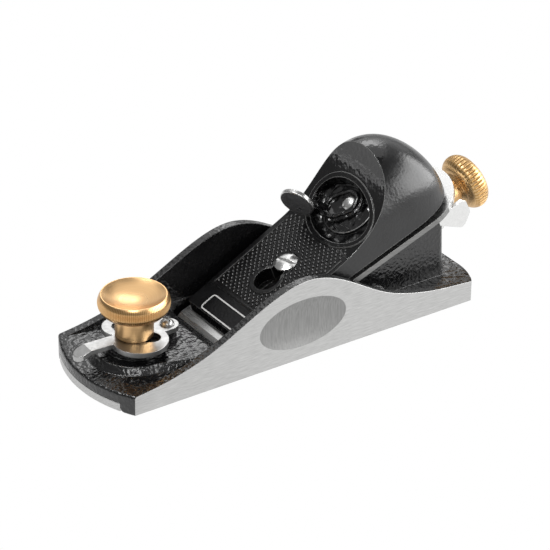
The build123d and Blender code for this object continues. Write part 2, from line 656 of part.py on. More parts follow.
def bowl_room():
    """The room of the bowl: an oval with a round lower edge, less the raised seat of the cam."""
    room = bowl_prism(0, BOWL_FLOOR_N, CUT_PAST)
    room = fillet(room.edges().sort_by(Axis.Z)[0], BOWL_ROUND)
    seat = rod(SEAT_RADIUS, BOWL_FLOOR_N - 1, CAM_FLOOR_N, CAM_BEHIND_BOWL)
    return room - fillet(seat.edges().sort_by(Axis.Z)[-1], SEAT_ROUND)


def clipped_corner(side):
    """The wedge that is taken off one front corner of the cap."""
    half = CAP_WIDTH / 2
    front = CAP_FRONT_U - CAP_CORNER / 4
    outline = [
        (front, side * (half - 1.5 * CAP_CORNER)),
        (CAP_FRONT_U + 0.75 * CAP_CORNER, side * (half + CAP_CORNER / 2)),
        (front, side * (half + CAP_CORNER / 2)),
    ]
    return extrude(make_face(Polyline(*outline, close=True)), amount=CUT_PAST, both=True)


def lever_cap():
    """The hooded cap: a cast shell with a grip pad, a keyhole and a bowl for the cam."""
    solid = cap_form(0, CAP_FRONT_U - 1) & cap_profile(0)
    solid += bowl_lip()
    solid -= [clipped_corner(side) for side in (-1, 1)]
    tub = bowl_prism(BOWL_FLOOR, BOWL_FLOOR_N - BOWL_FLOOR, CUT_PAST)
    hollow = cap_form(CAP_SHELL, CAP_FRONT_U) & cap_profile(CAP_SHELL)
    spring_top = spring_height() + SPRING_THICK / 2
    anchor = rod(3 * SPRING_RIVET_RADIUS, spring_top, CUT_PAST, SPRING_ANCHOR_U)
    keyhole_wall = long_hole(KEYHOLE_RADIUS + CAP_SHELL, KEYHOLE_U, CAP_SCREW_U, spring_top, CUT_PAST)
    hollow -= [bowl_plane().location * tub, anchor, keyhole_wall]
    cap = solid - hollow
    cap += pad_border() & solid_above_pad()
    cap += keyhole_rim()
    cap -= bowl_plane().location * bowl_room()
    rivet_hole = rod(RIVET_RADIUS + RUNNING_FIT, BOWL_FLOOR_N - CUT_PAST, CAM_FLOOR_N + 1, CAM_BEHIND_BOWL)
    cap -= bowl_plane().location * rivet_hole
    cap -= long_hole(CAP_SCREW_RADIUS + SLOT_ROOM, KEYHOLE_U, CAP_SCREW_U, 0, CUT_PAST)
    cap -= rod(KEYHOLE_RADIUS, 0, CUT_PAST, KEYHOLE_U)
    head_room = CAP_SCREW_HEAD_RADIUS + SLOT_ROOM
    cap -= long_hole(head_room, KEYHOLE_U, CAP_SCREW_U, cap_screw_seat(), CUT_PAST)
    cap -= rod(SPRING_RIVET_RADIUS, 0, spring_height() + 2 * CAP_SHELL, SPRING_ANCHOR_U)
    return BED.location * cap


def solid_above_pad():
    """The room over the pad in front of the hood, which trims the raised border."""
    return box_between((0, CAP_SCOOP_U), centred(CAP_WIDTH), (0, CAP_SHOULDER))


def pad_border():
    """The raised line round the grip pad."""
    start, line, height = PAD_BORDER
    length = 2 * (BOWL_CENTRE[0] - start)
    width = CAP_WIDTH - 2 * PAD_BORDER_INSET
    frame = Rectangle(length, width) - Rectangle(length - 2 * line, width - 2 * line)
    frame = Pos(start - CAP_FACE_START[0] + length / 2, 0, -height) * frame
    return pad_plane().location * extrude(frame, amount=2 * height)


def keyhole_rim():
    """The raised lip round the keyhole's large end."""
    line, height = KEYHOLE_RIM
    rim = rod(KEYHOLE_RADIUS + line, -height, height, KEYHOLE_U - CAP_FACE_START[0])
    return pad_plane().location * rim


def cap_screw_seat():
    """Height above the bed of the seat under the cap screw's head."""
    return pad_height(CAP_SCREW_U) - CAP_SCREW_SUNK


def lever_cap_screw():
    """The slotted screw in the bed block that holds the cap down."""
    seat = cap_screw_seat() + SLIDE_GAP
    screw = rod(CAP_SCREW_RADIUS, -CAP_SCREW_DEPTH, seat, CAP_SCREW_U)
    step = CAP_SCREW_HEAD_HEIGHT / 2
    screw += rod(CAP_SCREW_HEAD_RADIUS, seat, seat + step, CAP_SCREW_U)
    screw += dome(CAP_SCREW_HEAD_RADIUS, step, seat + step, CAP_SCREW_U)
    width, depth = CAP_SCREW_SLOT
    slot = Rot(0, 0, CAP_SCREW_TURN) * Box(4 * CAP_SCREW_HEAD_RADIUS, width, 2 * depth)
    return BED.location * (screw - Pos(CAP_SCREW_U, 0, seat + CAP_SCREW_HEAD_HEIGHT) * slot)


def on_cam(part):
    """Place a part made about the cam's own axis, with the cam's seat at Z = 0."""
    return BED.location * (bowl_plane().location * (Pos(CAM_BEHIND_BOWL, 0, CAM_FLOOR_N) * part))


def cam_lever():
    """The cam lever: a flange, an oblong hub, a neck and a thumb disc set across it."""
    base = SLIDE_GAP
    top = base + CAM_HUB_HEIGHT
    flange = long_hole(CAM_RADIUS, 0, CAM_LENGTH, base, base + CAM_PLATE)
    hub = long_hole(CAM_HUB_RADIUS, 0, CAM_LENGTH, base, top)
    hub = fillet(hub.faces().sort_by(Axis.Z)[-1].edges(), CAM_HUB_WALL / 2)
    hub -= long_hole(CAM_HUB_RADIUS - CAM_HUB_WALL, 0, CAM_LENGTH, base + CAM_PLATE, top + 1)
    reach, rise, half = CAM_PADDLE_REACH, CAM_PADDLE_RISE, CAM_PADDLE_RADIUS
    root = CAM_LENGTH + CAM_HUB_RADIUS
    neck = across(
        [
            (root - CAM_HUB_WALL, base),
            (root + CAM_PLATE / 2, base),
            (reach - half / 4, rise - half * 0.9),
            (reach + half / 5, rise - half / 4),
            (reach - half / 2, rise - half / 4),
            (root - CAM_HUB_WALL, top),
        ],
        CAM_NECK_WIDTH / 2,
    )
    turn = Rot(0, 0, CAM_PADDLE_TURN) * Rot(90 + CAM_PADDLE_LEAN, 0, 0)
    paddle = Pos(reach, 0, rise) * turn * Cylinder(half, CAM_PADDLE_THICK)
    paddle = fillet(paddle.edges(), CAM_PADDLE_THICK / 4)
    lever = flange + hub + neck + paddle - rod(RIVET_RADIUS, base - 1, CUT_PAST)
    return on_cam(Rot(0, 0, CAM_DIRECTION) * lever)


def cam_rivet():
    """The rivet that turns with the cam lever and bears on the spring with its collar."""
    head = SLIDE_GAP + CAM_PLATE
    under = -SEAT_RISE - BOWL_FLOOR - PLATE_GAP
    rivet = rod(RIVET_RADIUS, under, head) + dome(RIVET_HEAD_RADIUS, RIVET_HEAD_HEIGHT, head)
    rivet += rod(RIVET_COLLAR_RADIUS, under - RIVET_COLLAR, under)
    return on_cam(rivet)


def spring_height():
    """Height above the bed of the spring's riveted end."""
    return CUTTER_TOP + SIDE_GAP + SPRING_THICK / 2


def collar_foot():
    """The lowest corner of the rivet's collar, along and above the bed."""
    plane = bowl_plane()
    drop = BOWL_FLOOR_N - BOWL_FLOOR - PLATE_GAP - RIVET_COLLAR
    front = plane.from_local_coords((CAM_BEHIND_BOWL - RIVET_COLLAR_RADIUS, 0, drop))
    rear = plane.from_local_coords((CAM_BEHIND_BOWL + RIVET_COLLAR_RADIUS, 0, drop))
    return (front.X, front.Z), (rear.X, rear.Z)


def pressure_spring():
    """The bowed leaf spring between the cam rivet and the cutter."""
    front, rear = collar_foot()
    clear = SPRING_THICK / 2 + PLATE_GAP
    tilt = radians(BOWL_TILT)
    shift = (clear * sin(tilt), -clear * cos(tilt))
    low = spring_height()
    tip = CUTTER_TOP + PLATE_GAP + SPRING_THICK / 2
    line = Polyline(
        (SPRING_ANCHOR_U - 3 * SPRING_RIVET_RADIUS, low),
        (front[0] - 8, low),
        (front[0] + shift[0], front[1] + shift[1]),
        (rear[0] + shift[0], rear[1] + shift[1]),
        (SPRING_TIP_U - 3, tip),
        (SPRING_TIP_U, tip),
    )
    leaf = extrude(Plane.XZ * trace(line, SPRING_THICK), amount=SPRING_WIDTH / 2, both=True)
    return BED.location * (leaf - rod(SPRING_RIVET_RADIUS, 0, CUT_PAST, SPRING_ANCHOR_U))


def spring_rivet():
    """The rivet that fastens the spring to the cap."""
    low = spring_height() - SPRING_THICK / 2
    shank = rod(SPRING_RIVET_RADIUS, low, spring_height() + 2 * CAP_SHELL, SPRING_ANCHOR_U)
    return BED.location * shank


def lateral_lever():
    """The steel plate under the cutter that swings it sideways, with two thumb fins."""
    tail = BLOCK_REAR_U + 3 * SIDE_GAP
    layer = (LATERAL_BOTTOM, LATERAL_TOP)
    flange = (FLANGE_U, FLANGE_U + LATERAL_THICK)
    plate = box_between((LATERAL_PIVOT_U, flange[1]), centred(LATERAL_WIDTH), layer)
    plate += rod(LATERAL_NOSE_RADIUS, LATERAL_BOTTOM, LATERAL_TOP, LATERAL_PIVOT_U)
    plate += box_between((tail, tail + LATERAL_TAIL), centred(FIN_SPACING + LATERAL_THICK), layer)
    fin = across(
        [
            (tail, LATERAL_TOP),
            (tail + FIN_LENGTH, LATERAL_TOP - SIDE_GAP),
            (tail + FIN_LENGTH + 0.5, LATERAL_TOP - FIN_DROP * 0.6),
            (tail + FIN_LENGTH * 0.68, LATERAL_TOP - FIN_DROP),
            (tail, LATERAL_TOP - FIN_ROOT_DROP),
        ],
        LATERAL_THICK / 2,
    )
    fin = fillet(fin.edges().filter_by(Axis.Y).sort_by(Axis.X)[-3:], FIN_ROUND / 2)
    for side in (-1, 1):
        plate += Pos(0, side * FIN_SPACING / 2, 0) * fin
    flange_foot = -SCREW_DROP - SCREW_RADIUS - 2 * LATERAL_THICK
    plate += box_between(flange, centred(FLANGE_WIDTH), (flange_foot, LATERAL_TOP))
    plate -= along_screw(Cylinder(SCREW_JOURNAL_RADIUS + RUNNING_FIT, 4 * LATERAL_THICK), FLANGE_U)
    plate -= rod(LATERAL_PIN_RADIUS + RUNNING_FIT, -CUT_PAST, CUT_PAST, LATERAL_PIVOT_U)
    slot_start = CARRIAGE_U[0] - DEPTH_TRAVEL[0] - SLOT_ROOM
    slot_end = CARRIAGE_U[1] + DEPTH_TRAVEL[1] + SLOT_ROOM
    plate -= long_hole(NIB_WIDTH / 2 + SLOT_ROOM, slot_start, slot_end, -CUT_PAST / 5, CUT_PAST)
    return BED.location * plate


def along_screw(part, u):
    """Turn a part made about Z onto the adjusting screw's axis, centred at a place along it."""
    return Pos(u, 0, -SCREW_DROP) * Rot(0, 90, 0) * part


def lateral_pivot_pin():
    """The pin in the bed block that the lateral lever swings on."""
    foot = BLOCK_STEP_N - LATERAL_PIN_DEPTH
    return BED.location * rod(LATERAL_PIN_RADIUS, foot, LATERAL_TOP, LATERAL_PIVOT_U)


def depth_carriage():
    """The nut block that rides on the adjusting screw, with a nib in the cutter's groove."""
    block = box_between(CARRIAGE_U, centred(CARRIAGE_WIDTH), (-CARRIAGE_DROP, LATERAL_BOTTOM - PLATE_GAP))
    block -= along_screw(Cylinder(SCREW_RADIUS + RUNNING_FIT, 4 * CUT_PAST), CARRIAGE_U[0])
    groove = GROOVE_FIRST_U + GROOVE_PITCH * (GROOVE_COUNT // 2 - 1)
    nib_top = CUTTER_BOTTOM + GROOVE_SIZE[2] - PLATE_GAP
    nib_length = centred(GROOVE_SIZE[0] - 2 * RUNNING_FIT)
    nib = Pos(groove, 0, 0) * box_between(nib_length, centred(NIB_WIDTH), (-2 * LATERAL_THICK, nib_top))
    return BED.location * (block + nib)


def adjusting_screw():
    """The threaded spindle of the depth adjuster, with a plain journal in the flange."""
    shoulder = FLANGE_U - COLLAR_LENGTH - SIDE_GAP
    spindle = along_screw(Cylinder(SCREW_RADIUS, shoulder - SCREW_FRONT_U), (shoulder + SCREW_FRONT_U) / 2)
    end = REAR_KNOB_U
    spindle += along_screw(Cylinder(SCREW_JOURNAL_RADIUS, end - shoulder), (end + shoulder) / 2)
    return BED.location * spindle


def screw_collar():
    """The ring that keeps the spindle from being drawn back through the flange."""
    middle = FLANGE_U - SIDE_GAP - COLLAR_LENGTH / 2
    ring = Cylinder(COLLAR_RADIUS, COLLAR_LENGTH) - Cylinder(SCREW_JOURNAL_RADIUS, 2 * COLLAR_LENGTH)
    return BED.location * along_screw(ring, middle)


def thrust_washer():
    """The washer between the flange and the adjusting knob's hub."""
    start = FLANGE_U + LATERAL_THICK + PLATE_GAP
    ring = Cylinder(REAR_KNOB_HUB_RADIUS + WASHER_LIP, LATERAL_THICK / 2)
    ring -= Cylinder(SCREW_JOURNAL_RADIUS, 2 * LATERAL_THICK)
    return BED.location * along_screw(ring, start + LATERAL_THICK / 4)


def adjusting_knob():
    """The brass depth knob: a tapered hub and a round rim with coarse straight flutes."""
    base = FLANGE_U + 1.5 * LATERAL_THICK + PLATE_GAP - REAR_KNOB_U
    core = REAR_KNOB_RADIUS - REAR_KNOB_HALF
    face = REAR_KNOB_HALF
    outline = [
        Line((0, base), (REAR_KNOB_HUB_RADIUS, base)),
        Line((REAR_KNOB_HUB_RADIUS, base), (REAR_KNOB_HUB_RADIUS * 0.8, -face - 1)),
        Line((REAR_KNOB_HUB_RADIUS * 0.8, -face - 1), (core, -face)),
        ThreePointArc((core, -face), (REAR_KNOB_RADIUS, 0), (core, face)),
        Line((core, face), (0, face)),
        Line((0, face), (0, base)),
    ]
    knob = revolve(Plane.XZ * make_face(outline), Axis.Z) - dish(core - KNOB_LIP, REAR_KNOB_DISH, face)
    flute = Pos(REAR_KNOB_RADIUS, 0, 0) * Cylinder(REAR_KNOB_FLUTE_RADIUS, 2 * REAR_KNOB_HALF)
    knob -= [Rot(0, 0, 360 / REAR_KNOB_FLUTES * i) * flute for i in range(REAR_KNOB_FLUTES)]
    knob -= rod(SCREW_JOURNAL_RADIUS, base - 1, 0)
    return BED.location * along_screw(knob, REAR_KNOB_U)


PIECES = [
    body,
    toe_plate,
    toe_stud,
    front_knob,
    eccentric_lever,
    pivot_washer,
    eccentric_pivot_screw,
    cutter,
    lever_cap,
    lever_cap_screw,
    cam_lever,
    cam_rivet,
    pressure_spring,
    spring_rivet,
    lateral_lever,
    lateral_pivot_pin,
    depth_carriage,
    adjusting_screw,
    screw_collar,
    thrust_washer,
    adjusting_knob,
]

os.makedirs("parts", exist_ok=True)
for piece in PIECES:
    export_step(piece(), f"parts/{piece.__name__}.step")
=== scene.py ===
"""Looks of a low-angle block plane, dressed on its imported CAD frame."""

import json
import logging
import math
from collections.abc import Callable
from dataclasses import dataclass, field
from enum import Enum, auto
from functools import cached_property

import bpy
from mathutils import Matrix, Vector


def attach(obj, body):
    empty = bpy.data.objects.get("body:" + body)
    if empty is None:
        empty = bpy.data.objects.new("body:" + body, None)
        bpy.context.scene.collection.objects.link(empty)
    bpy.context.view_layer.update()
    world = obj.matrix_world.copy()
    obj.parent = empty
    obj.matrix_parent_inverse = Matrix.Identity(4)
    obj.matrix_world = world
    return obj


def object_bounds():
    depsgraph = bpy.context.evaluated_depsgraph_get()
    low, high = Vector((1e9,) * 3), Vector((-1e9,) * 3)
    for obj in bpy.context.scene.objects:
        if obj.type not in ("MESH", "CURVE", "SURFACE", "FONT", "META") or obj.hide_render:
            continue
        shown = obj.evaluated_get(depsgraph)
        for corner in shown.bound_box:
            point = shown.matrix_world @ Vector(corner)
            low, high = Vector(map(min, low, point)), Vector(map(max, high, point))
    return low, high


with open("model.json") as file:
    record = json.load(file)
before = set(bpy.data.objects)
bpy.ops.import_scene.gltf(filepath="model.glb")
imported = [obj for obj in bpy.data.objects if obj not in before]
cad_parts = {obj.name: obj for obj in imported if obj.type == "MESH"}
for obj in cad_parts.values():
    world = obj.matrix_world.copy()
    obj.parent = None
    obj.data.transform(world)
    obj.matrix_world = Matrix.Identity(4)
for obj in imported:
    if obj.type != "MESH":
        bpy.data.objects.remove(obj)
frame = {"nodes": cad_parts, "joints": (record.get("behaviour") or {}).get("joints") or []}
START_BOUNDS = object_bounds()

LOG = logging.getLogger("block_plane")
MM = 0.001
JOINTS = {joint["name"]: joint for joint in frame["joints"]}
# Where nearly all values of a noise pattern lie
NOISE_SPAN = {"From Min": 0.3, "From Max": 0.7}
# Sockets of a Mix node that mixes colours
FACTOR, FIRST, SECOND, MIXED = 0, 6, 7, 2
# Rays that feel for an edge to round
EDGE_SAMPLES = 6

Socket = bpy.types.NodeSocket
Pair = tuple[float, float]
Triple = tuple[float, float, float]


def srgb(code: str) -> tuple[float, float, float, float]:
    """Turn an sRGB hex code into a linear colour.

    Args:
        code: Six hex digits.

    Returns:
        Linear red, green, blue and an alpha of one.
    """
    parts = [int(code[i : i + 2], 16) / 255 for i in (0, 2, 4)]
    linear = [c / 12.92 if c <= 0.04045 else ((c + 0.055) / 1.055) ** 2.4 for c in parts]
    return (linear[0], linear[1], linear[2], 1.0)


def repeats(size_mm: float) -> float:
    """Repeats per metre of a pattern whose real size is given."""
    return 1.0 / (size_mm * MM)


class Surface(Enum):
    """Kinds of surface that a face of the body casting can have."""

    PAINT = auto()
    GROUND = auto()
    RECESS = auto()
    DECK = auto()


class CapSurface(Enum):
    """Kinds of surface that a face of the lever cap can have."""

    SMOOTH = auto()
    BOWL = auto()
    WORN = auto()
    PAD = auto()
    SCOOP = auto()


class CamSurface(Enum):
    """Kinds of surface that a face of the cam lever can have."""

    POOLED = auto()
    SATIN = auto()
    WORN = auto()


class CutterSurface(Enum):
    """Kinds of surface that a face of the cutter can have."""

    GROUND = auto()
    SHEARED = auto()


class Lay(Enum):
    """Length of a metal's tool marks along X, Y and Z in millimetres.

    Real marks are finer. These are as coarse as they have to be to show.
    """

    ALONG = (5.0, 0.45, 0.45)
    UPRIGHT = (0.45, 0.45, 9.0)
    ACROSS = (0.3, 7.0, 0.3)
    NONE = (1.6, 1.6, 1.6)


class ShaderTree:
    """A material's node tree with one short way to add nodes."""

    def __init__(self, name: str) -> None:
        """Start an empty material.

        Args:
            name: The material's name.
        """
        self.material = bpy.data.materials.new(name)
        self.material.use_nodes = True
        self.tree = self.material.node_tree
        self.tree.nodes.clear()

    def add(
        self, kind: str, inputs: dict | None = None, out: str | int = 0, **settings: object
    ) -> Socket | None:
        """Add one node, set its options and fill its sockets.

        Args:
            kind: Blender's type name of the node, without the words ShaderNode.
            inputs: Socket name or number to a value or another node's output.
            out: Name or number of the output to hand back.
            settings: Options of the node itself.

        Returns:
            That output, or None for a node that has no outputs.
        """
        node = self.tree.nodes.new("ShaderNode" + kind)
        for key, value in settings.items():
            setattr(node, key, value)
        for key, value in (inputs or {}).items():
            socket = node.inputs[key]
            if isinstance(value, Socket):
                self.tree.links.new(value, socket)
            else:
                socket.default_value = value
        return node.outputs[out] if len(node.outputs) else None

    def mottle(
        self, pattern: Socket, colours: tuple[str, str], roughness: float, stray: float
    ) -> tuple[Socket, Socket]:
        """Let a noise pattern vary a surface's colour and roughness.

        Args:
            pattern: The noise.
            colours: Colours at its low and its high end as sRGB hex.
            roughness: Middle of the roughness.
            stray: How far the roughness strays from its middle.

        Returns:
            The colour and the roughness.
        """
        share = self.add("MapRange", {"Value": pattern, **NOISE_SPAN})
        low, high = (srgb(code) for code in colours)
        tint = self.add("Mix", {FACTOR: share, FIRST: low, SECOND: high}, MIXED, data_type="RGBA")
        ends = {"To Min": roughness - stray, "To Max": roughness + stray}
        return tint, self.add("MapRange", {"Value": pattern, **NOISE_SPAN, **ends})


@dataclass(frozen=True)
class PaintFinish:
    """Enamel or paint over a casting.

    Attributes:
        name: Material name.
        colour: Base colour as sRGB hex.
        haze: Colour of its lighter clouds as sRGB hex.
        roughness: Middle of the roughness.
        pebble_mm: Size of the casting's grain under the paint.
        depth_mm: Height of that grain.
        edge_mm: Rounding of the casting's edges.
        gloss: Strength of the clear reflection.
        edge_highlight: Colour of the painted highlight along an edge, where the rounded edge would catch
            the light, as sRGB hex.
        cloud_mm: Size of the clouds in its colour and gloss.
        unevenness: How far the roughness strays from its middle.
        highlight_bend: Cosine of an edge's bend where the painted highlight starts, and where it is
            strongest.
    """

    name: str
    colour: str = "060607"
    haze: str = "0b0b0c"
    roughness: float = 0.32
    pebble_mm: float = 1.2
    depth_mm: float = 0.05
    edge_mm: float = 0.5
    gloss: float = 0.8
    edge_highlight: str = "060607"
    cloud_mm: float = 9.0
    unevenness: float = 0.05
    highlight_bend: Pair = (0.99, 0.93)

    def material(self) -> bpy.types.Material:
        """Make the paint.

        Returns:
            The material.
        """
        tree = ShaderTree(self.name)
        place = tree.add("TexCoord", out="Object")
        # A single finer layer keeps the pebbles crisp
        grain = tree.add("TexNoise", {"Vector": place, "Scale": repeats(self.pebble_mm), "Detail": 1.0})
        cloud = tree.add("TexNoise", {"Vector": place, "Scale": repeats(self.cloud_mm)})
        tint, rough = tree.mottle(cloud, (self.colour, self.haze), self.roughness, self.unevenness)
        rounded = tree.add("Bevel", {"Radius": self.edge_mm * MM}, samples=EDGE_SAMPLES)
        # Painted highlight: the colour turns toward the edge highlight where the rounded normal bends away
        # from the flat one
        flat = tree.add("NewGeometry", out="Normal")
        bend = tree.add("VectorMath", {0: rounded, 1: flat}, "Value", operation="DOT_PRODUCT")
        start, end = self.highlight_bend
        edge = tree.add("MapRange", {"Value": bend, "From Min": start, "From Max": end})
        highlighted = {FACTOR: edge, FIRST: tint, SECOND: srgb(self.edge_highlight)}
        relief = {"Height": grain, "Distance": self.depth_mm * MM, "Normal": rounded}
        sockets = {
            "Base Color": tree.add("Mix", highlighted, MIXED, data_type="RGBA"),
            "Roughness": rough,
            "Specular IOR Level": self.gloss,
            "Normal": tree.add("Bump", relief),
        }
        tree.add("OutputMaterial", {"Surface": tree.add("BsdfPrincipled", sockets)})
        return tree.material


@dataclass(frozen=True)
class MetalFinish:
    """Bare or plated metal with fine tool marks.

    Attributes:
        name: Material name.
        colour: Base colour as sRGB hex.
        shade: Colour in the tool marks as sRGB hex.
        roughness: Middle of the roughness.
        lay: Direction and length of the tool marks.
        depth_mm: Depth of the marks.
        edge_mm: Rounding of the edges.
        unevenness: How far the roughness strays from its middle.
        layers: Number of finer layers in the marks.
        harshness: Strength of those layers.
    """

    name: str
    colour: str
    shade: str
    roughness: float
    lay: Lay = Lay.NONE
    depth_mm: float = 0.004
    edge_mm: float = 0.25
    unevenness: float = 0.06
    layers: float = 3.0
    harshness: float = 0.6

    def material(self) -> bpy.types.Material:
        """Make the metal.

        Returns:
            The material.
        """
        tree = ShaderTree(self.name)
        place = tree.add("TexCoord", out="Object")
        stretch = tuple(repeats(size) for size in self.lay.value)
        drawn = tree.add("Mapping", {"Vector": place, "Scale": stretch})
        noise = {"Vector": drawn, "Scale": 1.0, "Detail": self.layers, "Roughness": self.harshness}
        marks = tree.add("TexNoise", noise)
        tint, rough = tree.mottle(marks, (self.colour, self.shade), self.roughness, self.unevenness)
        rounded = tree.add("Bevel", {"Radius": self.edge_mm * MM}, samples=EDGE_SAMPLES)
        relief = {"Height": marks, "Distance": self.depth_mm * MM, "Normal": rounded}
        normal = tree.add("Bump", relief)
        sockets = {"Base Color": tint, "Metallic": 1.0, "Roughness": rough, "Normal": normal}
        tree.add("OutputMaterial", {"Surface": tree.add("BsdfPrincipled", sockets)})
        return tree.material


@dataclass(frozen=True)
class TurnedFinish:
    """Metal turned in a lathe, with rings of tool marks about its own axis, and a knurl with painted shade
    in its grooves.

    Attributes:
        name: Material name.
        colour: Base colour as sRGB hex.
        shade: Colour in the tool marks as sRGB hex.
        groove_shade: Colour of the painted shade in the knurl's grooves as sRGB hex.
        roughness: Middle of the roughness.
        joint: Name of the joint that turns the piece about its axis.
        knurl_mm: Radius outside which the knurl lies.
        flutes: Number of grooves in the knurl.
        ring_mm: Width of a tool mark, coarser than a real one so that it shows.
        streak: Strength of the drawn-out highlight.
        unevenness: How far the roughness strays from its middle.
        edge_mm: Rounding of the edges.
        groove_shading: Heights on the knurl's wave, from -1 to 1, between which the painted shade thickens.
    """

    name: str
    colour: str
    shade: str
    groove_shade: str
    roughness: float
    joint: str
    knurl_mm: float
    flutes: int
    ring_mm: float = 0.5
    streak: float = 0.35
    unevenness: float = 0.04
    edge_mm: float = 0.06
    groove_shading: Pair = (-0.4, 0.9)

    def material(self) -> bpy.types.Material:
        """Make the turned metal.

        Returns:
            The material.
        """
        tree = ShaderTree(self.name)
        place = tree.add("TexCoord", out="Object")
        centre, axis = JOINTS[self.joint]["pos_m"], JOINTS[self.joint]["axis"]
        arm = tree.add("VectorMath", {0: place, 1: centre}, operation="SUBTRACT")
        swing = tree.add("VectorMath", {0: arm, 1: axis}, operation="CROSS_PRODUCT")
        height = tree.add("VectorMath", {0: arm, 1: axis}, "Value", operation="DOT_PRODUCT")
        radius = tree.add("VectorMath", {0: swing}, "Value", operation="LENGTH")
        rings = tree.add("CombineXYZ", {"X": radius, "Y": height})
        marks = tree.add("TexNoise", {"Vector": rings, "Scale": repeats(self.ring_mm)})
        tint, rough = tree.mottle(marks, (self.colour, self.shade), self.roughness, self.unevenness)
        across = Vector((0.0, 1.0, 0.0))
        sides = [tuple(across), tuple(across.cross(Vector(axis)))]
        legs = [
            tree.add("VectorMath", {0: arm, 1: side}, "Value", operation="DOT_PRODUCT") for side in sides
        ]
        angle = tree.add("Math", {0: legs[0], 1: legs[1]}, operation="ARCTAN2")
        turns = tree.add("Math", {0: angle, 1: float(self.flutes)}, operation="MULTIPLY")
        wave = tree.add("Math", {0: turns}, operation="COSINE")
        # Painted shade: outside the knurl's radius, the colour darkens toward the groove shade along each
        # flute
        lit, shaded = self.groove_shading
        deep = tree.add("MapRange", {"Value": wave, "From Min": lit, "From Max": shaded})
        outside = tree.add("Math", {0: radius, 1: self.knurl_mm * MM}, operation="GREATER_THAN")
        groove_shading = tree.add("Math", {0: deep, 1: outside}, operation="MULTIPLY")
        shaded_tint = {FACTOR: groove_shading, FIRST: tint, SECOND: srgb(self.groove_shade)}
        sockets = {
            "Base Color": tree.add("Mix", shaded_tint, MIXED, data_type="RGBA"),
            "Metallic": 1.0,
            "Roughness": rough,
            "Anisotropic": self.streak,
            "Tangent": swing,
            "Normal": tree.add("Bevel", {"Radius": self.edge_mm * MM}, samples=EDGE_SAMPLES),
        }
        tree.add("OutputMaterial", {"Surface": tree.add("BsdfPrincipled", sockets)})
        return tree.material


Finish = PaintFinish | MetalFinish | TurnedFinish

# Stoved black enamel on the cap: a deep gloss with a faint orange peel, with a grey painted highlight along
# its edges
GLOSS_ENAMEL = PaintFinish(
    "gloss_black_enamel",
    roughness=0.3,
    pebble_mm=1.1,
    depth_mm=0.08,
    edge_mm=0.45,
    gloss=0.65,
    edge_highlight="787877",
)
# The same enamel on the flat pad, where fingers rub it: a dull black that mirrors little
PAD_ENAMEL = PaintFinish(
    "pad_black_enamel", roughness=0.3, pebble_mm=1.1, depth_mm=0.08, edge_mm=0.3, gloss=0.3
)
# The same enamel in the scoop of the hood: a wavy mirror, with a ragged edge to each reflection, and a grey
# painted highlight along its edges
SCOOP_ENAMEL = PaintFinish(
    "scoop_black_enamel",
    roughness=0.13,
    pebble_mm=2.0,
    depth_mm=0.16,
    edge_mm=0.45,
    gloss=0.65,
    edge_highlight="787877",
)
# The same enamel on the grip dots: a small glint on each dot
DOT_ENAMEL = PaintFinish("dotted_black_enamel", roughness=0.22, depth_mm=0.01, edge_mm=0.05, gloss=1.0)
# The same enamel pooled over the lumpy bowl and cam lever: it looks wet, with broad broken glints
POOLED_ENAMEL = PaintFinish(
    "pooled_black_enamel", roughness=0.18, pebble_mm=4.6, depth_mm=1.8, edge_mm=0.8, gloss=1.0
)
# Satin enamel on the cam lever's thumb disc: an even dark grey
SATIN_ENAMEL = PaintFinish(
    "satin_black_enamel", "505051", "5c5c5d", roughness=0.34, depth_mm=0.06, edge_mm=0.6, gloss=0.7
)
# Black enamel over the rough inside of the casting: a pebbled gloss
PEBBLED_ENAMEL = PaintFinish(
    "pebbled_black_enamel", roughness=0.24, pebble_mm=1.3, depth_mm=0.3, gloss=0.8
)
# The same enamel over the sand marks of the deck: coarser pebbles, each with its own glint
DECK_ENAMEL = PaintFinish("deck_black_enamel", roughness=0.21, pebble_mm=1.8, depth_mm=0.5, gloss=0.7)
# Silver paint on the plain frame at the front of the cap: an even pale line, a touch paler along its edges
# as a painted highlight
SILVER_PAINT = PaintFinish(
    "silver_paint", "c6c6c5", "cececd", roughness=0.5, depth_mm=0.01, edge_mm=0.05, gloss=0.5, edge_highlight="cececd"
)
# Cast iron ground along its length: a bright grey with faint lengthwise marks
GROUND_IRON = MetalFinish(
    "ground_cast_iron", "c8c8c7", "b0b0af", 0.42, Lay.ALONG, depth_mm=0.006, edge_mm=0.3
)
# Cast iron brushed upright in the finger recess: a darker grey with upright streaks
BRUSHED_IRON = MetalFinish(
    "brushed_cast_iron", "9a9a99", "848483", 0.36, Lay.UPRIGHT, depth_mm=0.005, edge_mm=0.3
)
# Polished brass of the front knob, finely knurled: warm and bright, with fine lines of painted shade in the
# knurl round its rim
FRONT_BRASS = TurnedFinish(
    "turned_front_brass",
    "e6be8a",
    "deb480",
    groove_shade="b48850",
    roughness=0.3,
    joint="front_knob_turn",
    knurl_mm=12.2,
    flutes=120,
)
# Turned brass of the depth knob, coarsely knurled: duller, with painted shade in its grooves
REAR_BRASS = TurnedFinish(
    "turned_rear_brass",
    "dcb886",
    "caa674",
    groove_shade="b08a54",
    roughness=0.38,
    joint="depth_knob_turn",
    knurl_mm=9.8,
    flutes=44,
)
# Nickel-plated and polished steel: an almost clear mirror
BRIGHT_STEEL = MetalFinish("bright_plated_steel", "eaeae9", "e2e2e1", 0.24, depth_mm=0.001, unevenness=0.02)
# Zinc-plated steel on the eccentric lever and its screw: a soft, duller mirror
ZINC_STEEL = MetalFinish("zinc_plated_steel", "b4b4b3", "a4a4a3", 0.34, depth_mm=0.002, unevenness=0.03)
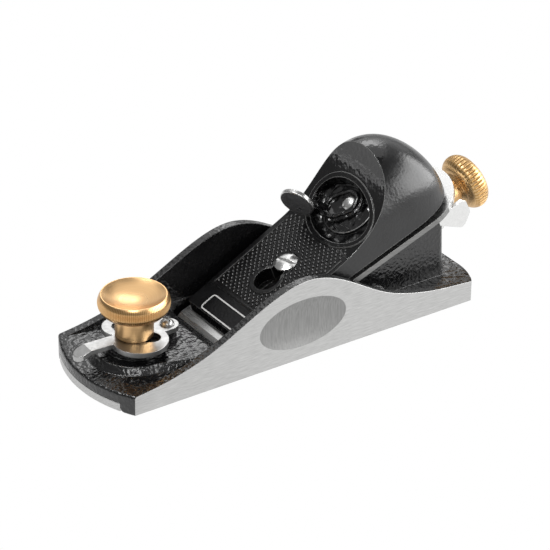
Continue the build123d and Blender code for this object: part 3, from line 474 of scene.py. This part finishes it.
# Tool steel ground across: bright, with fine crosswise marks
TOOL_STEEL = MetalFinish(
    "ground_tool_steel", "e6e6e5", "d4d4d3", 0.3, Lay.ACROSS, depth_mm=0.003, edge_mm=0.15
)
# Sheared tool steel down the cutter's sides: a dull dark grey
SHEARED_STEEL = MetalFinish(
    "sheared_tool_steel", "8e8e8d", "70706f", 0.45, Lay.ALONG, depth_mm=0.004, edge_mm=0.15
)
# Bare iron where the enamel has worn through: a bright, uneven line
WORN_EDGE = MetalFinish("worn_bare_edge", "dcdcdb", "a0a09f", 0.3, depth_mm=0.002, edge_mm=0.2)
# Plain turned steel of the hidden fittings: a medium grey
PLAIN_STEEL = MetalFinish("plain_turned_steel", "a9a9a8", "949493", 0.35, depth_mm=0.003, edge_mm=0.2)


class Dresser:
    """Puts finishes on CAD nodes and made pieces."""

    def __init__(self) -> None:
        """Start with no materials made."""
        self.made: dict[str, bpy.types.Material] = {}

    def material(self, finish: Finish) -> bpy.types.Material:
        """The material of a finish, made once.

        Args:
            finish: The finish to look up.

        Returns:
            Its material.
        """
        if finish.name not in self.made:
            self.made[finish.name] = finish.material()
        return self.made[finish.name]

    def dress(self, piece: bpy.types.Object, *finishes: Finish) -> None:
        """Give a piece its finishes, one per material slot.

        Args:
            piece: The object to dress.
            finishes: Finishes in slot order.
        """
        piece.data.materials.clear()
        for finish in finishes:
            piece.data.materials.append(self.material(finish))

    def dress_nodes(self, finish: Finish, *names: str) -> None:
        """Give several CAD nodes, known by name, one finish."""
        for name in names:
            self.dress(frame["nodes"][name], finish)

    def dress_faces(
        self, name: str, pick: Callable[[bpy.types.MeshPolygon], Enum], finishes: dict[Enum, Finish]
    ) -> None:
        """Give each face of a CAD node the finish of the surface that it has.

        Args:
            name: CAD node name.
            pick: Chooses the surface of a face.
            finishes: The finish of each surface, in slot order.
        """
        node = frame["nodes"][name]
        self.dress(node, *finishes.values())
        slots = {surface: slot for slot, surface in enumerate(finishes)}
        for face in node.data.polygons:
            face.material_index = slots[pick(face)]


@dataclass(frozen=True)
class Bed:
    """The sloping bed that the cutter and the cap lie on.

    Attributes:
        mouth_x_mm: Where the bed meets the sole.
        angle_deg: Slope of the bed.
    """

    mouth_x_mm: float = -28.0
    angle_deg: float = 20.5

    def matrix(self, along_mm: float = 0.0, above_mm: float = 0.0, tilt_deg: float = 0.0) -> Matrix:
        """Placement of a piece on the bed.

        Args:
            along_mm: Distance along the bed from the mouth.
            above_mm: Height above the bed.
            tilt_deg: Further slope on top of the bed's own.

        Returns:
            The matrix from the piece's own frame, in metres.
        """
        mouth = Matrix.Translation(Vector((self.mouth_x_mm * MM, 0, 0)))
        slope = Matrix.Rotation(-math.radians(self.angle_deg), 4, "Y")
        place = Matrix.Translation(Vector((along_mm * MM, 0, above_mm * MM)))
        tilt = Matrix.Rotation(-math.radians(tilt_deg), 4, "Y")
        return mouth @ slope @ place @ tilt


@dataclass(frozen=True)
class Bowl:
    """The slanting plane of the bowl in the cap, with the ovals that lie on it.

    Attributes:
        bed: The bed that the cap lies on.
        origin_mm: Origin of the plane, along and above the bed.
        tilt_deg: Slope of the plane on the bed.
        middle_mm: Middle of the ovals on the plane.
        turn_deg: Turn of the ovals.
        rivet_mm: Distance of the cam's rivet behind the origin.
    """

    bed: Bed
    origin_mm: Pair = (68.5, 16.4)
    tilt_deg: float = 23.0
    middle_mm: Pair = (1.0, -1.5)
    turn_deg: float = -9.0
    rivet_mm: float = 5.6

    @cached_property
    def plane(self) -> Matrix:
        """Placement of a piece on the plane, in metres."""
        return self.bed.matrix(*self.origin_mm, self.tilt_deg)

    def reach(self, along_mm: float, above_mm: float) -> float:
        """How far along the plane a place over the bed lies.

        Args:
            along_mm: Distance along the bed from the mouth.
            above_mm: Height above the bed.

        Returns:
            The distance from the plane's origin in millimetres.
        """
        tilt = math.radians(self.tilt_deg)
        along, above = along_mm - self.origin_mm[0], above_mm - self.origin_mm[1]
        return along * math.cos(tilt) + above * math.sin(tilt)

    def holds(self, x_mm: float, y_mm: float, half_mm: Pair) -> bool:
        """Whether a place on the plane lies inside an oval.

        Args:
            x_mm: Distance along the plane.
            y_mm: Distance across it.
            half_mm: Half axes of the oval.

        Returns:
            True inside.
        """
        turn = math.radians(self.turn_deg)
        x, y = x_mm - self.middle_mm[0], y_mm - self.middle_mm[1]
        along = x * math.cos(turn) + y * math.sin(turn)
        across = y * math.cos(turn) - x * math.sin(turn)
        return math.hypot(along / half_mm[0], across / half_mm[1]) < 1.0


def settle(piece: bpy.types.Object, matrix: Matrix, body: str) -> bpy.types.Object:
    """Move a piece's mesh into place and let it ride on a body.

    Args:
        piece: The made object, still in its own frame.
        matrix: Placement in the row frame.
        body: Name of the CAD body that carries it.

    Returns:
        The same object.
    """
    bpy.ops.object.select_all(action="DESELECT")
    piece.select_set(True)
    bpy.context.view_layer.objects.active = piece
    piece.matrix_world = matrix
    bpy.ops.object.transform_apply(location=True, rotation=True, scale=True)
    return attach(piece, body)


@dataclass
class BodyCasting:
    """The cast body: ground outside, brushed in the recesses and black enamel elsewhere.

    Attributes:
        half_width_mm: Half the body's width.
        wall_mm: How deep under the outside a side wall's faces lie.
        flat_mm: How deep the flat of a side wall lies at most.
        sole_mm: Height that the sole's faces stay under.
        deck_top_mm: Height that the deck's faces stay under.
        recess_mm: Middle of the finger recess, along the body and up.
        recess_half_mm: Half length and half height of the recess.
        sole_facing: How nearly a face of the sole points down.
        wall_facing: How nearly a face of a side wall points sideways.
        deck_facing: How nearly a face of the deck points up.
    """

    half_width_mm: float = START_BOUNDS[1].y / MM
    wall_mm: float = 1.5
    flat_mm: float = 0.001
    sole_mm: float = 0.1
    deck_top_mm: float = 15.0
    recess_mm: Pair = (-1.5, 14.8)
    recess_half_mm: Pair = (18.9, 9.6)
    sole_facing: float = 0.9
    wall_facing: float = 0.75
    deck_facing: float = 0.8

    def pick(self, face: bpy.types.MeshPolygon) -> Surface:
        """Choose the surface of one face.

        Args:
            face: A face of the casting.

        Returns:
            The surface that it has.
        """
        spot, normal = face.center / MM, face.normal
        if normal.z < -self.sole_facing and spot.z < self.sole_mm:
            return Surface.GROUND
        depth = self.half_width_mm - abs(spot.y)
        if depth < self.wall_mm and abs(normal.y) > self.wall_facing:
            along = (spot.x - self.recess_mm[0]) / self.recess_half_mm[0]
            up = (spot.z - self.recess_mm[1]) / self.recess_half_mm[1]
            sunk = depth > self.flat_mm and math.hypot(along, up) < 1.0
            return Surface.RECESS if sunk else Surface.GROUND
        if normal.z > self.deck_facing and spot.z < self.deck_top_mm:
            return Surface.DECK
        return Surface.PAINT

    def dress(self, dresser: Dresser) -> None:
        """Dress the casting face by face.

        Args:
            dresser: Source of materials.
        """
        finishes = {
            Surface.PAINT: PEBBLED_ENAMEL,
            Surface.GROUND: GROUND_IRON,
            Surface.RECESS: BRUSHED_IRON,
            Surface.DECK: DECK_ENAMEL,
        }
        dresser.dress_faces("body", self.pick, finishes)


@dataclass
class LeverCap:
    """The hooded cap, its grip dots and its plain frame.

    Attributes:
        bed: The bed that the cap lies on.
        bowl: The bowl in the cap.
        pad_start_mm: Front of the sloping pad, along and above the bed.
        pad_slope_deg: Slope of the pad on the bed.
        dotted_mm: Where the dotted part starts and ends along the bed.
        dotted_half_mm: Half width of the dotted part.
        dot_pitch_mm: Distance between dots in both of the slanting rows.
        dot_mm: Half length, half width and height of a dot.
        dot_sides: Sides round a dot and from its top to its foot.
        dot_sunk: Share of a dot's height that is sunk in the pad.
        dot_turn_deg: Turn of a dot on the pad.
        dot_rows: Number of rows each way before trimming.
        keyhole_mm: Both centres of the keyhole along the bed.
        keyhole_room_mm: Radius that stays bare round each of them.
        lip_half_mm: Half axes of the bowl's lip, which stays bare.
        lumps_half_mm: Half axes of the lumpy part of the bowl.
        lumps_mm: Lowest and highest place of that part on the bowl's plane.
        seat_mm: Radius and height of the worn edge of the cam's seat, on the bowl's plane.
        wear_mm: Width of the wear on that edge.
        frame_start_mm: Where the plain frame starts on the pad.
        frame_mm: Length and width of the frame.
        frame_line_mm: Width and height of its line.
        frame_round_mm: Radius of its corners.
        frame_arc: Number of sides in a corner.
        flatness: How nearly a face has to lie along the pad to be part of it.
        scoop_facing: How nearly a face has to lie along the bowl's plane to be part of the scoop.
    """

    bed: Bed
    bowl: Bowl
    pad_start_mm: Pair = (9.6, 5.25)
    pad_slope_deg: float = 7.6
    dotted_mm: Pair = (21.9, 60.0)
    dotted_half_mm: float = 17.4
    dot_pitch_mm: float = 1.72
    dot_mm: Triple = (0.78, 0.62, 0.5)
    dot_sides: tuple[int, int] = (8, 6)
    dot_sunk: float = 0.1
    dot_turn_deg: float = 45.0
    dot_rows: int = 44
    keyhole_mm: Pair = (33.7, 43.0)
    keyhole_room_mm: Pair = (7.3, 5.7)
    lip_half_mm: Pair = (14.0, 19.2)
    lumps_half_mm: Pair = (11.5, 16.7)
    lumps_mm: Pair = (-5.6, -0.7)
    seat_mm: Pair = (11.9, -4.2)
    wear_mm: float = 0.35
    frame_start_mm: float = 0.5
    frame_mm: Pair = (7.4, 26.0)
    frame_line_mm: Pair = (0.55, 0.18)
    frame_round_mm: float = 1.6
    frame_arc: int = 6
    flatness: float = 0.999
    scoop_facing: float = 0.75

    @cached_property
    def pad(self) -> Matrix:
        """Placement of a piece on the pad, in metres."""
        return self.bed.matrix(*self.pad_start_mm, self.pad_slope_deg)

    def dotted(self, along: float, across: float) -> bool:
        """Whether a dot stands at a place on the pad.

        Args:
            along: Distance along the bed in millimetres.
            across: Distance from the middle in millimetres.

        Returns:
            True where the pad is dotted.
        """
        front, rear = self.dotted_mm
        if not front < along < rear or abs(across) > self.dotted_half_mm:
            return False
        ends = zip(self.keyhole_mm, self.keyhole_room_mm)
        if any(math.hypot(along - end, across) < room for end, room in ends):
            return False
        start, foot = self.pad_start_mm
        above = foot + (along - start) * math.tan(math.radians(self.pad_slope_deg))
        return not self.bowl.holds(self.bowl.reach(along, above), across, self.lip_half_mm)

    def grip_dot(self) -> bpy.types.Object:
        """Model one dot.

        Returns:
            The dot, standing at the origin.
        """
        around, down = self.dot_sides
        bpy.ops.object.select_all(action="DESELECT")
        bpy.ops.mesh.primitive_uv_sphere_add(segments=around, ring_count=down, radius=1.0)
        dot = bpy.context.object
        dot.name = "grip_dots"
        bpy.ops.object.mode_set(mode="EDIT")
        bpy.ops.mesh.select_all(action="SELECT")
        bpy.ops.mesh.bisect(plane_co=(0, 0, -self.dot_sunk), plane_no=(0, 0, 1), clear_inner=True)
        bpy.ops.object.mode_set(mode="OBJECT")
        dot.scale = tuple(size * MM for size in self.dot_mm)
        dot.rotation_euler = (0, 0, math.radians(self.dot_turn_deg))
        bpy.ops.object.transform_apply(location=False, rotation=True, scale=True)
        bpy.ops.object.shade_smooth()
        return dot

    def grip_dots(self) -> bpy.types.Object:
        """Model the rows of raised dots on the pad.

        Returns:
            The finished piece.
        """
        piece = self.grip_dot()
        corners = len(piece.data.vertices)
        step = self.dot_pitch_mm / math.sqrt(2)
        for side in (step, -step):
            bpy.ops.object.modifier_add(type="ARRAY")
            array = piece.modifiers[-1]
            array.use_relative_offset = False
            array.use_constant_offset = True
            array.constant_offset_displace = Vector((step, side, 0)) * MM
            array.count = self.dot_rows
            bpy.ops.object.modifier_apply(modifier=array.name)
        middle_mm = sum(self.dotted_mm) / 2 - self.pad_start_mm[0]
        shift = Vector((middle_mm - step * (self.dot_rows - 1), 0, 0))
        bpy.ops.object.mode_set(mode="EDIT")
        bpy.ops.mesh.select_all(action="SELECT")
        bpy.ops.transform.translate(value=shift * MM)
        bpy.ops.mesh.select_all(action="DESELECT")
        bpy.ops.object.mode_set(mode="OBJECT")
        self.trim(piece, corners)
        return piece

    def trim(self, piece: bpy.types.Object, corners: int) -> None:
        """Delete the dots that stand outside the dotted part of the pad.

        Args:
            piece: All the dots, one after the other.
            corners: Number of corners of one dot.
        """
        slope = math.cos(math.radians(self.pad_slope_deg))
        points = piece.data.vertices
        for first in range(0, len(points), corners):
            dot = points[first : first + corners]
            middle = sum((point.co for point in dot), Vector()) / corners / MM
            keep = self.dotted(self.pad_start_mm[0] + middle.x * slope, middle.y)
            for point in dot:
                point.select = not keep
        bpy.ops.object.mode_set(mode="EDIT")
        bpy.ops.mesh.delete(type="VERT")
        bpy.ops.object.mode_set(mode="OBJECT")

    def name_frame(self) -> bpy.types.Object:
        """Model the plain raised frame at the front of the cap.

        Returns:
            The finished piece.
        """
        length, width = self.frame_mm
        line, height = self.frame_line_mm
        bpy.ops.object.select_all(action="DESELECT")
        bpy.ops.mesh.primitive_plane_add(size=1.0)
        piece = bpy.context.object
        piece.name = "name_frame"
        piece.scale = (length * MM, width * MM, 1.0)
        piece.location = ((self.frame_start_mm + length / 2) * MM, 0, 0)
        bpy.ops.object.transform_apply(location=True, rotation=True, scale=True)
        bpy.ops.object.mode_set(mode="EDIT")
        bpy.ops.mesh.select_all(action="SELECT")
        bpy.ops.mesh.bevel(offset=self.frame_round_mm * MM, segments=self.frame_arc, affect="VERTICES")
        bpy.ops.mesh.inset(thickness=line * MM, depth=0)
        bpy.ops.mesh.delete(type="ONLY_FACE")
        bpy.ops.mesh.select_all(action="SELECT")
        bpy.ops.mesh.extrude_region_move(TRANSFORM_OT_translate={"value": (0, 0, height * MM)})
        bpy.ops.mesh.select_all(action="SELECT")
        bpy.ops.mesh.normals_make_consistent(inside=False)
        bpy.ops.object.mode_set(mode="OBJECT")
        return piece

    def pick(self, face: bpy.types.MeshPolygon) -> CapSurface:
        """Choose the surface of one face of the cap.

        Args:
            face: A face of the cap.

        Returns:
            The surface that it has.
        """
        if face.normal.dot(self.pad.col[2].to_3d()) > self.flatness:
            return CapSurface.PAD
        spot = (self.bowl.plane.inverted() @ face.center) / MM
        radius, height = self.seat_mm
        off_seat = abs(math.hypot(spot.x - self.bowl.rivet_mm, spot.y) - radius)
        if off_seat < self.wear_mm and abs(spot.z - height) < self.wear_mm:
            return CapSurface.WORN
        low, high = self.lumps_mm
        if low < spot.z < high and self.bowl.holds(spot.x, spot.y, self.lumps_half_mm):
            return CapSurface.BOWL
        if face.normal.dot(self.bowl.plane.col[2].to_3d()) > self.scoop_facing:
            return CapSurface.SCOOP
        return CapSurface.SMOOTH

    def build(self, dresser: Dresser) -> list[bpy.types.Object]:
        """Model the cap's added pieces and dress the cap.

        Args:
            dresser: Source of materials.

        Returns:
            The added pieces.
        """
        dots = settle(self.grip_dots(), self.pad, "lever_cap")
        dresser.dress(dots, DOT_ENAMEL)
        border = settle(self.name_frame(), self.pad, "lever_cap")
        dresser.dress(border, SILVER_PAINT)
        finishes = {
            CapSurface.SMOOTH: GLOSS_ENAMEL,
            CapSurface.BOWL: POOLED_ENAMEL,
            CapSurface.WORN: WORN_EDGE,
            CapSurface.PAD: PAD_ENAMEL,
            CapSurface.SCOOP: SCOOP_ENAMEL,
        }
        dresser.dress_faces("lever_cap", self.pick, finishes)
        dresser.dress_nodes(BRIGHT_STEEL, "lever_cap_screw")
        dresser.dress_nodes(PLAIN_STEEL, "pressure_spring", "spring_rivet")
        return [dots, border]


@dataclass
class CamLock:
    """The cam lever in the bowl, with the worn rim of its thumb disc, and its rivet.

    Attributes:
        bowl: The bowl that the lever lies in.
        foot_mm: Height of the lever's foot on the bowl's plane.
        direction_deg: Which way the lever points.
        reach_mm: Distance of the thumb disc's middle from the rivet.
        rise_mm: Height of that middle over the foot.
        disc_mm: Radius of the disc and half its thickness with room to spare.
        disc_turn_deg: Turn of the disc across the lever.
        disc_tip_deg: How far the disc is tipped up from flat.
        wear_mm: Width of the worn rim on each side of its edge.
    """

    bowl: Bowl
    foot_mm: float = -4.1
    direction_deg: float = 136.0
    reach_mm: float = 15.6
    rise_mm: float = 11.75
    disc_mm: Pair = (6.7, 1.675)
    disc_turn_deg: float = -21.5
    disc_tip_deg: float = 102.4
    wear_mm: float = 0.4

    @cached_property
    def to_disc(self) -> Matrix:
        """The way into the thumb disc's own frame, with its axis along Z.

        Returns:
            The matrix into that frame, in metres.
        """
        foot = Matrix.Translation(Vector((self.bowl.rivet_mm, 0, self.foot_mm)) * MM)
        point = Matrix.Rotation(math.radians(self.direction_deg), 4, "Z")
        place = Matrix.Translation(Vector((self.reach_mm, 0, self.rise_mm)) * MM)
        turn = Matrix.Rotation(math.radians(self.disc_turn_deg), 4, "Z")
        tip = Matrix.Rotation(math.radians(self.disc_tip_deg), 4, "X")
        return (self.bowl.plane @ foot @ point @ place @ turn @ tip).inverted()

    def pick(self, face: bpy.types.MeshPolygon) -> CamSurface:
        """Choose the surface of one face of the lever.

        Args:
            face: A face of the lever.

        Returns:
            The surface that it has.
        """
        spot = (self.to_disc @ face.center) / MM
        radius, half = self.disc_mm
        past_edge = math.hypot(spot.x, spot.y) - radius
        if abs(spot.z) > half or past_edge > self.wear_mm:
            return CamSurface.POOLED
        return CamSurface.WORN if past_edge > -self.wear_mm else CamSurface.SATIN

    def dress(self, dresser: Dresser) -> None:
        """Dress the cam lever and its rivet.

        Args:
            dresser: Source of materials.
        """
        finishes = {
            CamSurface.POOLED: POOLED_ENAMEL,
            CamSurface.SATIN: SATIN_ENAMEL,
            CamSurface.WORN: WORN_EDGE,
        }
        dresser.dress_faces("cam_lever", self.pick, finishes)
        dresser.dress_nodes(BRIGHT_STEEL, "cam_rivet")


@dataclass
class ToeAssembly:
    """The sliding toe, its brass knob and the eccentric lever."""

    def dress(self, dresser: Dresser) -> None:
        """Dress the toe's CAD nodes.

        Args:
            dresser: Source of materials.
        """
        dresser.dress_nodes(GROUND_IRON, "toe_plate")
        dresser.dress_nodes(PLAIN_STEEL, "toe_stud")
        dresser.dress_nodes(FRONT_BRASS, "front_knob")
        dresser.dress_nodes(ZINC_STEEL, "eccentric_lever", "pivot_washer", "eccentric_pivot_screw")


@dataclass
class CutterAssembly:
    """The cutter with its lateral lever and depth adjuster.

    Attributes:
        side_facing: How nearly a sheared face of the cutter points sideways.
    """

    side_facing: float = 0.9

    def pick(self, face: bpy.types.MeshPolygon) -> CutterSurface:
        """Choose the surface of one face of the cutter by the way it points."""
        sheared = abs(face.normal.y) > self.side_facing
        return CutterSurface.SHEARED if sheared else CutterSurface.GROUND

    def dress(self, dresser: Dresser) -> None:
        """Dress the cutter's CAD nodes.

        Args:
            dresser: Source of materials.
        """
        finishes = {CutterSurface.GROUND: TOOL_STEEL, CutterSurface.SHEARED: SHEARED_STEEL}
        dresser.dress_faces("cutter", self.pick, finishes)
        dresser.dress_nodes(BRIGHT_STEEL, "lateral_lever")
        dresser.dress_nodes(PLAIN_STEEL, "lateral_pivot_pin", "depth_carriage")
        dresser.dress_nodes(PLAIN_STEEL, "adjusting_screw", "screw_collar")
        dresser.dress_nodes(REAR_BRASS, "adjusting_knob", "thrust_washer")


@dataclass(frozen=True)
class SoftBox:
    """One soft light that faces the plane.

    Attributes:
        name: Object name.
        place_m: Where it stands.
        size_m: Length and width of its face.
        watts: Its power.
    """

    name: str
    place_m: Triple
    size_m: Pair
    watts: float


@dataclass
class Studio:
    """A white sweep, soft lights and the camera.

    Attributes:
        eye_m: Camera position.
        right: Camera's right in the row frame.
        up: Camera's up in the row frame.
        lens_mm: Focal length.
        sensor_mm: Width of the sensor.
        clip_m: Nearest and farthest distance that the camera sees.
        floor_m: Side of the paper floor.
        floor_drop_mm: How far the paper lies under the sole.
        white: Colour of the lit paper and the room as sRGB hex.
        paper: Colours of the paper in its own shadow as sRGB hex.
        paper_mm: Size of the paper's mottling.
        shade_mm: Middle of the dim patch in front of the toe, on the paper as the metal mirrors it.
        shade_fade_mm: Distance from that middle where the patch starts and stops fading.
        shade_level: Brightness of the patch in its middle.
        world_level: Brightness of the white room.
        lights: The soft lights.
    """

    eye_m: Triple = (-0.5338, -0.7713, 0.5512)
    right: Triple = (0.8244, -0.5659, 0.0129)
    up: Triple = (0.2689, 0.4116, 0.8708)
    lens_mm: float = 193.09
    sensor_mm: float = 36.0
    clip_m: Pair = (0.01, 20.0)
    floor_m: float = 8.0
    floor_drop_mm: float = 0.2
    white: str = "ffffff"
    paper: tuple[str, str] = ("e8e8e8", "f2f2f2")
    paper_mm: float = 40.0
    shade_mm: Triple = (-95.0, -60.0, 0.0)
    shade_fade_mm: Pair = (15.0, 45.0)
    shade_level: float = 0.6
    world_level: float = 0.22
    lights: list[SoftBox] = field(
        default_factory=lambda: [
            SoftBox("right_softbox", (0.8, -0.45, 0.32), (1.5, 0.9), 22.0),
            SoftBox("back_softbox", (0.5, 0.78, 0.4), (1.3, 0.3), 1.0),
            SoftBox("sky_softbox", (0.22, 0.5, 0.83), (0.9, 0.8), 1.9),
            SoftBox("key_softbox", (0.45, 0.63, 0.6), (0.35, 0.3), 0.95),
            SoftBox("left_softbox", (-0.75, 0.75, 0.02), (0.5, 0.06), 0.11),
            SoftBox("top_softbox", (-0.33, 0.14, 0.8), (0.25, 0.2), 3.0),
            SoftBox("front_softbox", (-0.45, -0.6, 0.75), (0.35, 0.3), 2.6),
        ]
    )

    def floor_material(self) -> bpy.types.Material:
        """White paper that stays white to the camera and in the metal, and takes the shadow.

        Returns:
            The material.
        """
        tree = ShaderTree("white_paper")
        place = tree.add("TexCoord", out="Object")
        seen_straight = tree.add("LightPath", out="Is Camera Ray")
        seen_in_gloss = tree.add("LightPath", out="Is Glossy Ray")
        middle = tuple(value * MM for value in self.shade_mm)
        away = tree.add("VectorMath", {0: place, 1: middle}, "Value", operation="DISTANCE")
        near, far = (value * MM for value in self.shade_fade_mm)
        fade = {"Value": away, "From Min": near, "From Max": far, "To Min": self.shade_level}
        level = tree.add("Math", {0: seen_straight, 1: tree.add("MapRange", fade)}, operation="MAXIMUM")
        white = tree.add("Emission", {"Color": srgb(self.white), "Strength": level})
        grain = tree.add("TexNoise", {"Vector": place, "Scale": repeats(self.paper_mm)})
        low, high = (srgb(code) for code in self.paper)
        tones = {FACTOR: grain, FIRST: low, SECOND: high}
        paper = tree.add("BsdfDiffuse", {"Color": tree.add("Mix", tones, MIXED, data_type="RGBA")})
        seen = tree.add("Math", {0: seen_straight, 1: seen_in_gloss}, operation="MAXIMUM")
        tree.add("OutputMaterial", {"Surface": tree.add("MixShader", {0: seen, 1: paper, 2: white})})
        return tree.material

    def lay_floor(self) -> None:
        """Lay the paper under the sole."""
        bpy.ops.object.select_all(action="DESELECT")
        bpy.ops.mesh.primitive_plane_add(size=self.floor_m, location=(0, 0, -self.floor_drop_mm * MM))
        floor = bpy.context.object
        floor.name = "paper_floor"
        floor.data.materials.append(self.floor_material())

    def hang_lights(self) -> None:
        """Hang the soft lights and light the room."""
        for box in self.lights:
            bpy.ops.object.light_add(type="AREA", location=box.place_m)
            lamp = bpy.context.object
            lamp.name = box.name
            lamp.data.shape = "RECTANGLE"
            lamp.data.size, lamp.data.size_y = box.size_m
            lamp.data.energy = box.watts
            lamp.rotation_euler = (-Vector(box.place_m)).to_track_quat("-Z", "Y").to_euler()
        world = bpy.data.worlds.new("studio_white")
        bpy.context.scene.world = world
        world.use_nodes = True
        backdrop = world.node_tree.nodes["Background"]
        backdrop.inputs["Color"].default_value = srgb(self.white)
        backdrop.inputs["Strength"].default_value = self.world_level

    def place_camera(self) -> None:
        """Stand the camera at the photograph's viewpoint."""
        bpy.ops.object.camera_add(location=self.eye_m)
        camera = bpy.context.object
        camera.name = "photo_camera"
        right = Vector(self.right).normalized()
        back = right.cross(Vector(self.up)).normalized()
        turn = Matrix((right, back.cross(right), back)).transposed()
        camera.matrix_world = Matrix.Translation(Vector(self.eye_m)) @ turn.to_4x4()
        camera.data.lens = self.lens_mm
        camera.data.sensor_width = self.sensor_mm
        camera.data.clip_start, camera.data.clip_end = self.clip_m
        bpy.context.scene.camera = camera

    def build(self) -> None:
        """Set up floor, lights, camera and the plain view."""
        self.lay_floor()
        self.hang_lights()
        self.place_camera()
        bpy.context.scene.view_settings.view_transform = "Standard"


def main() -> None:
    """Dress the frame, add the made pieces, set the studio and report each piece."""
    logging.basicConfig(level=logging.INFO)
    dresser = Dresser()
    bed = Bed()
    bowl = Bowl(bed)
    BodyCasting().dress(dresser)
    ToeAssembly().dress(dresser)
    CutterAssembly().dress(dresser)
    CamLock(bowl).dress(dresser)
    added = LeverCap(bed, bowl).build(dresser)
    Studio().build()
    for piece in [*frame["nodes"].values(), *added]:
        finishes = ", ".join(material.name for material in piece.data.materials)
        LOG.info("%s: %d faces in %s", piece.name, len(piece.data.polygons), finishes)


if __name__ == "__main__":
    main()
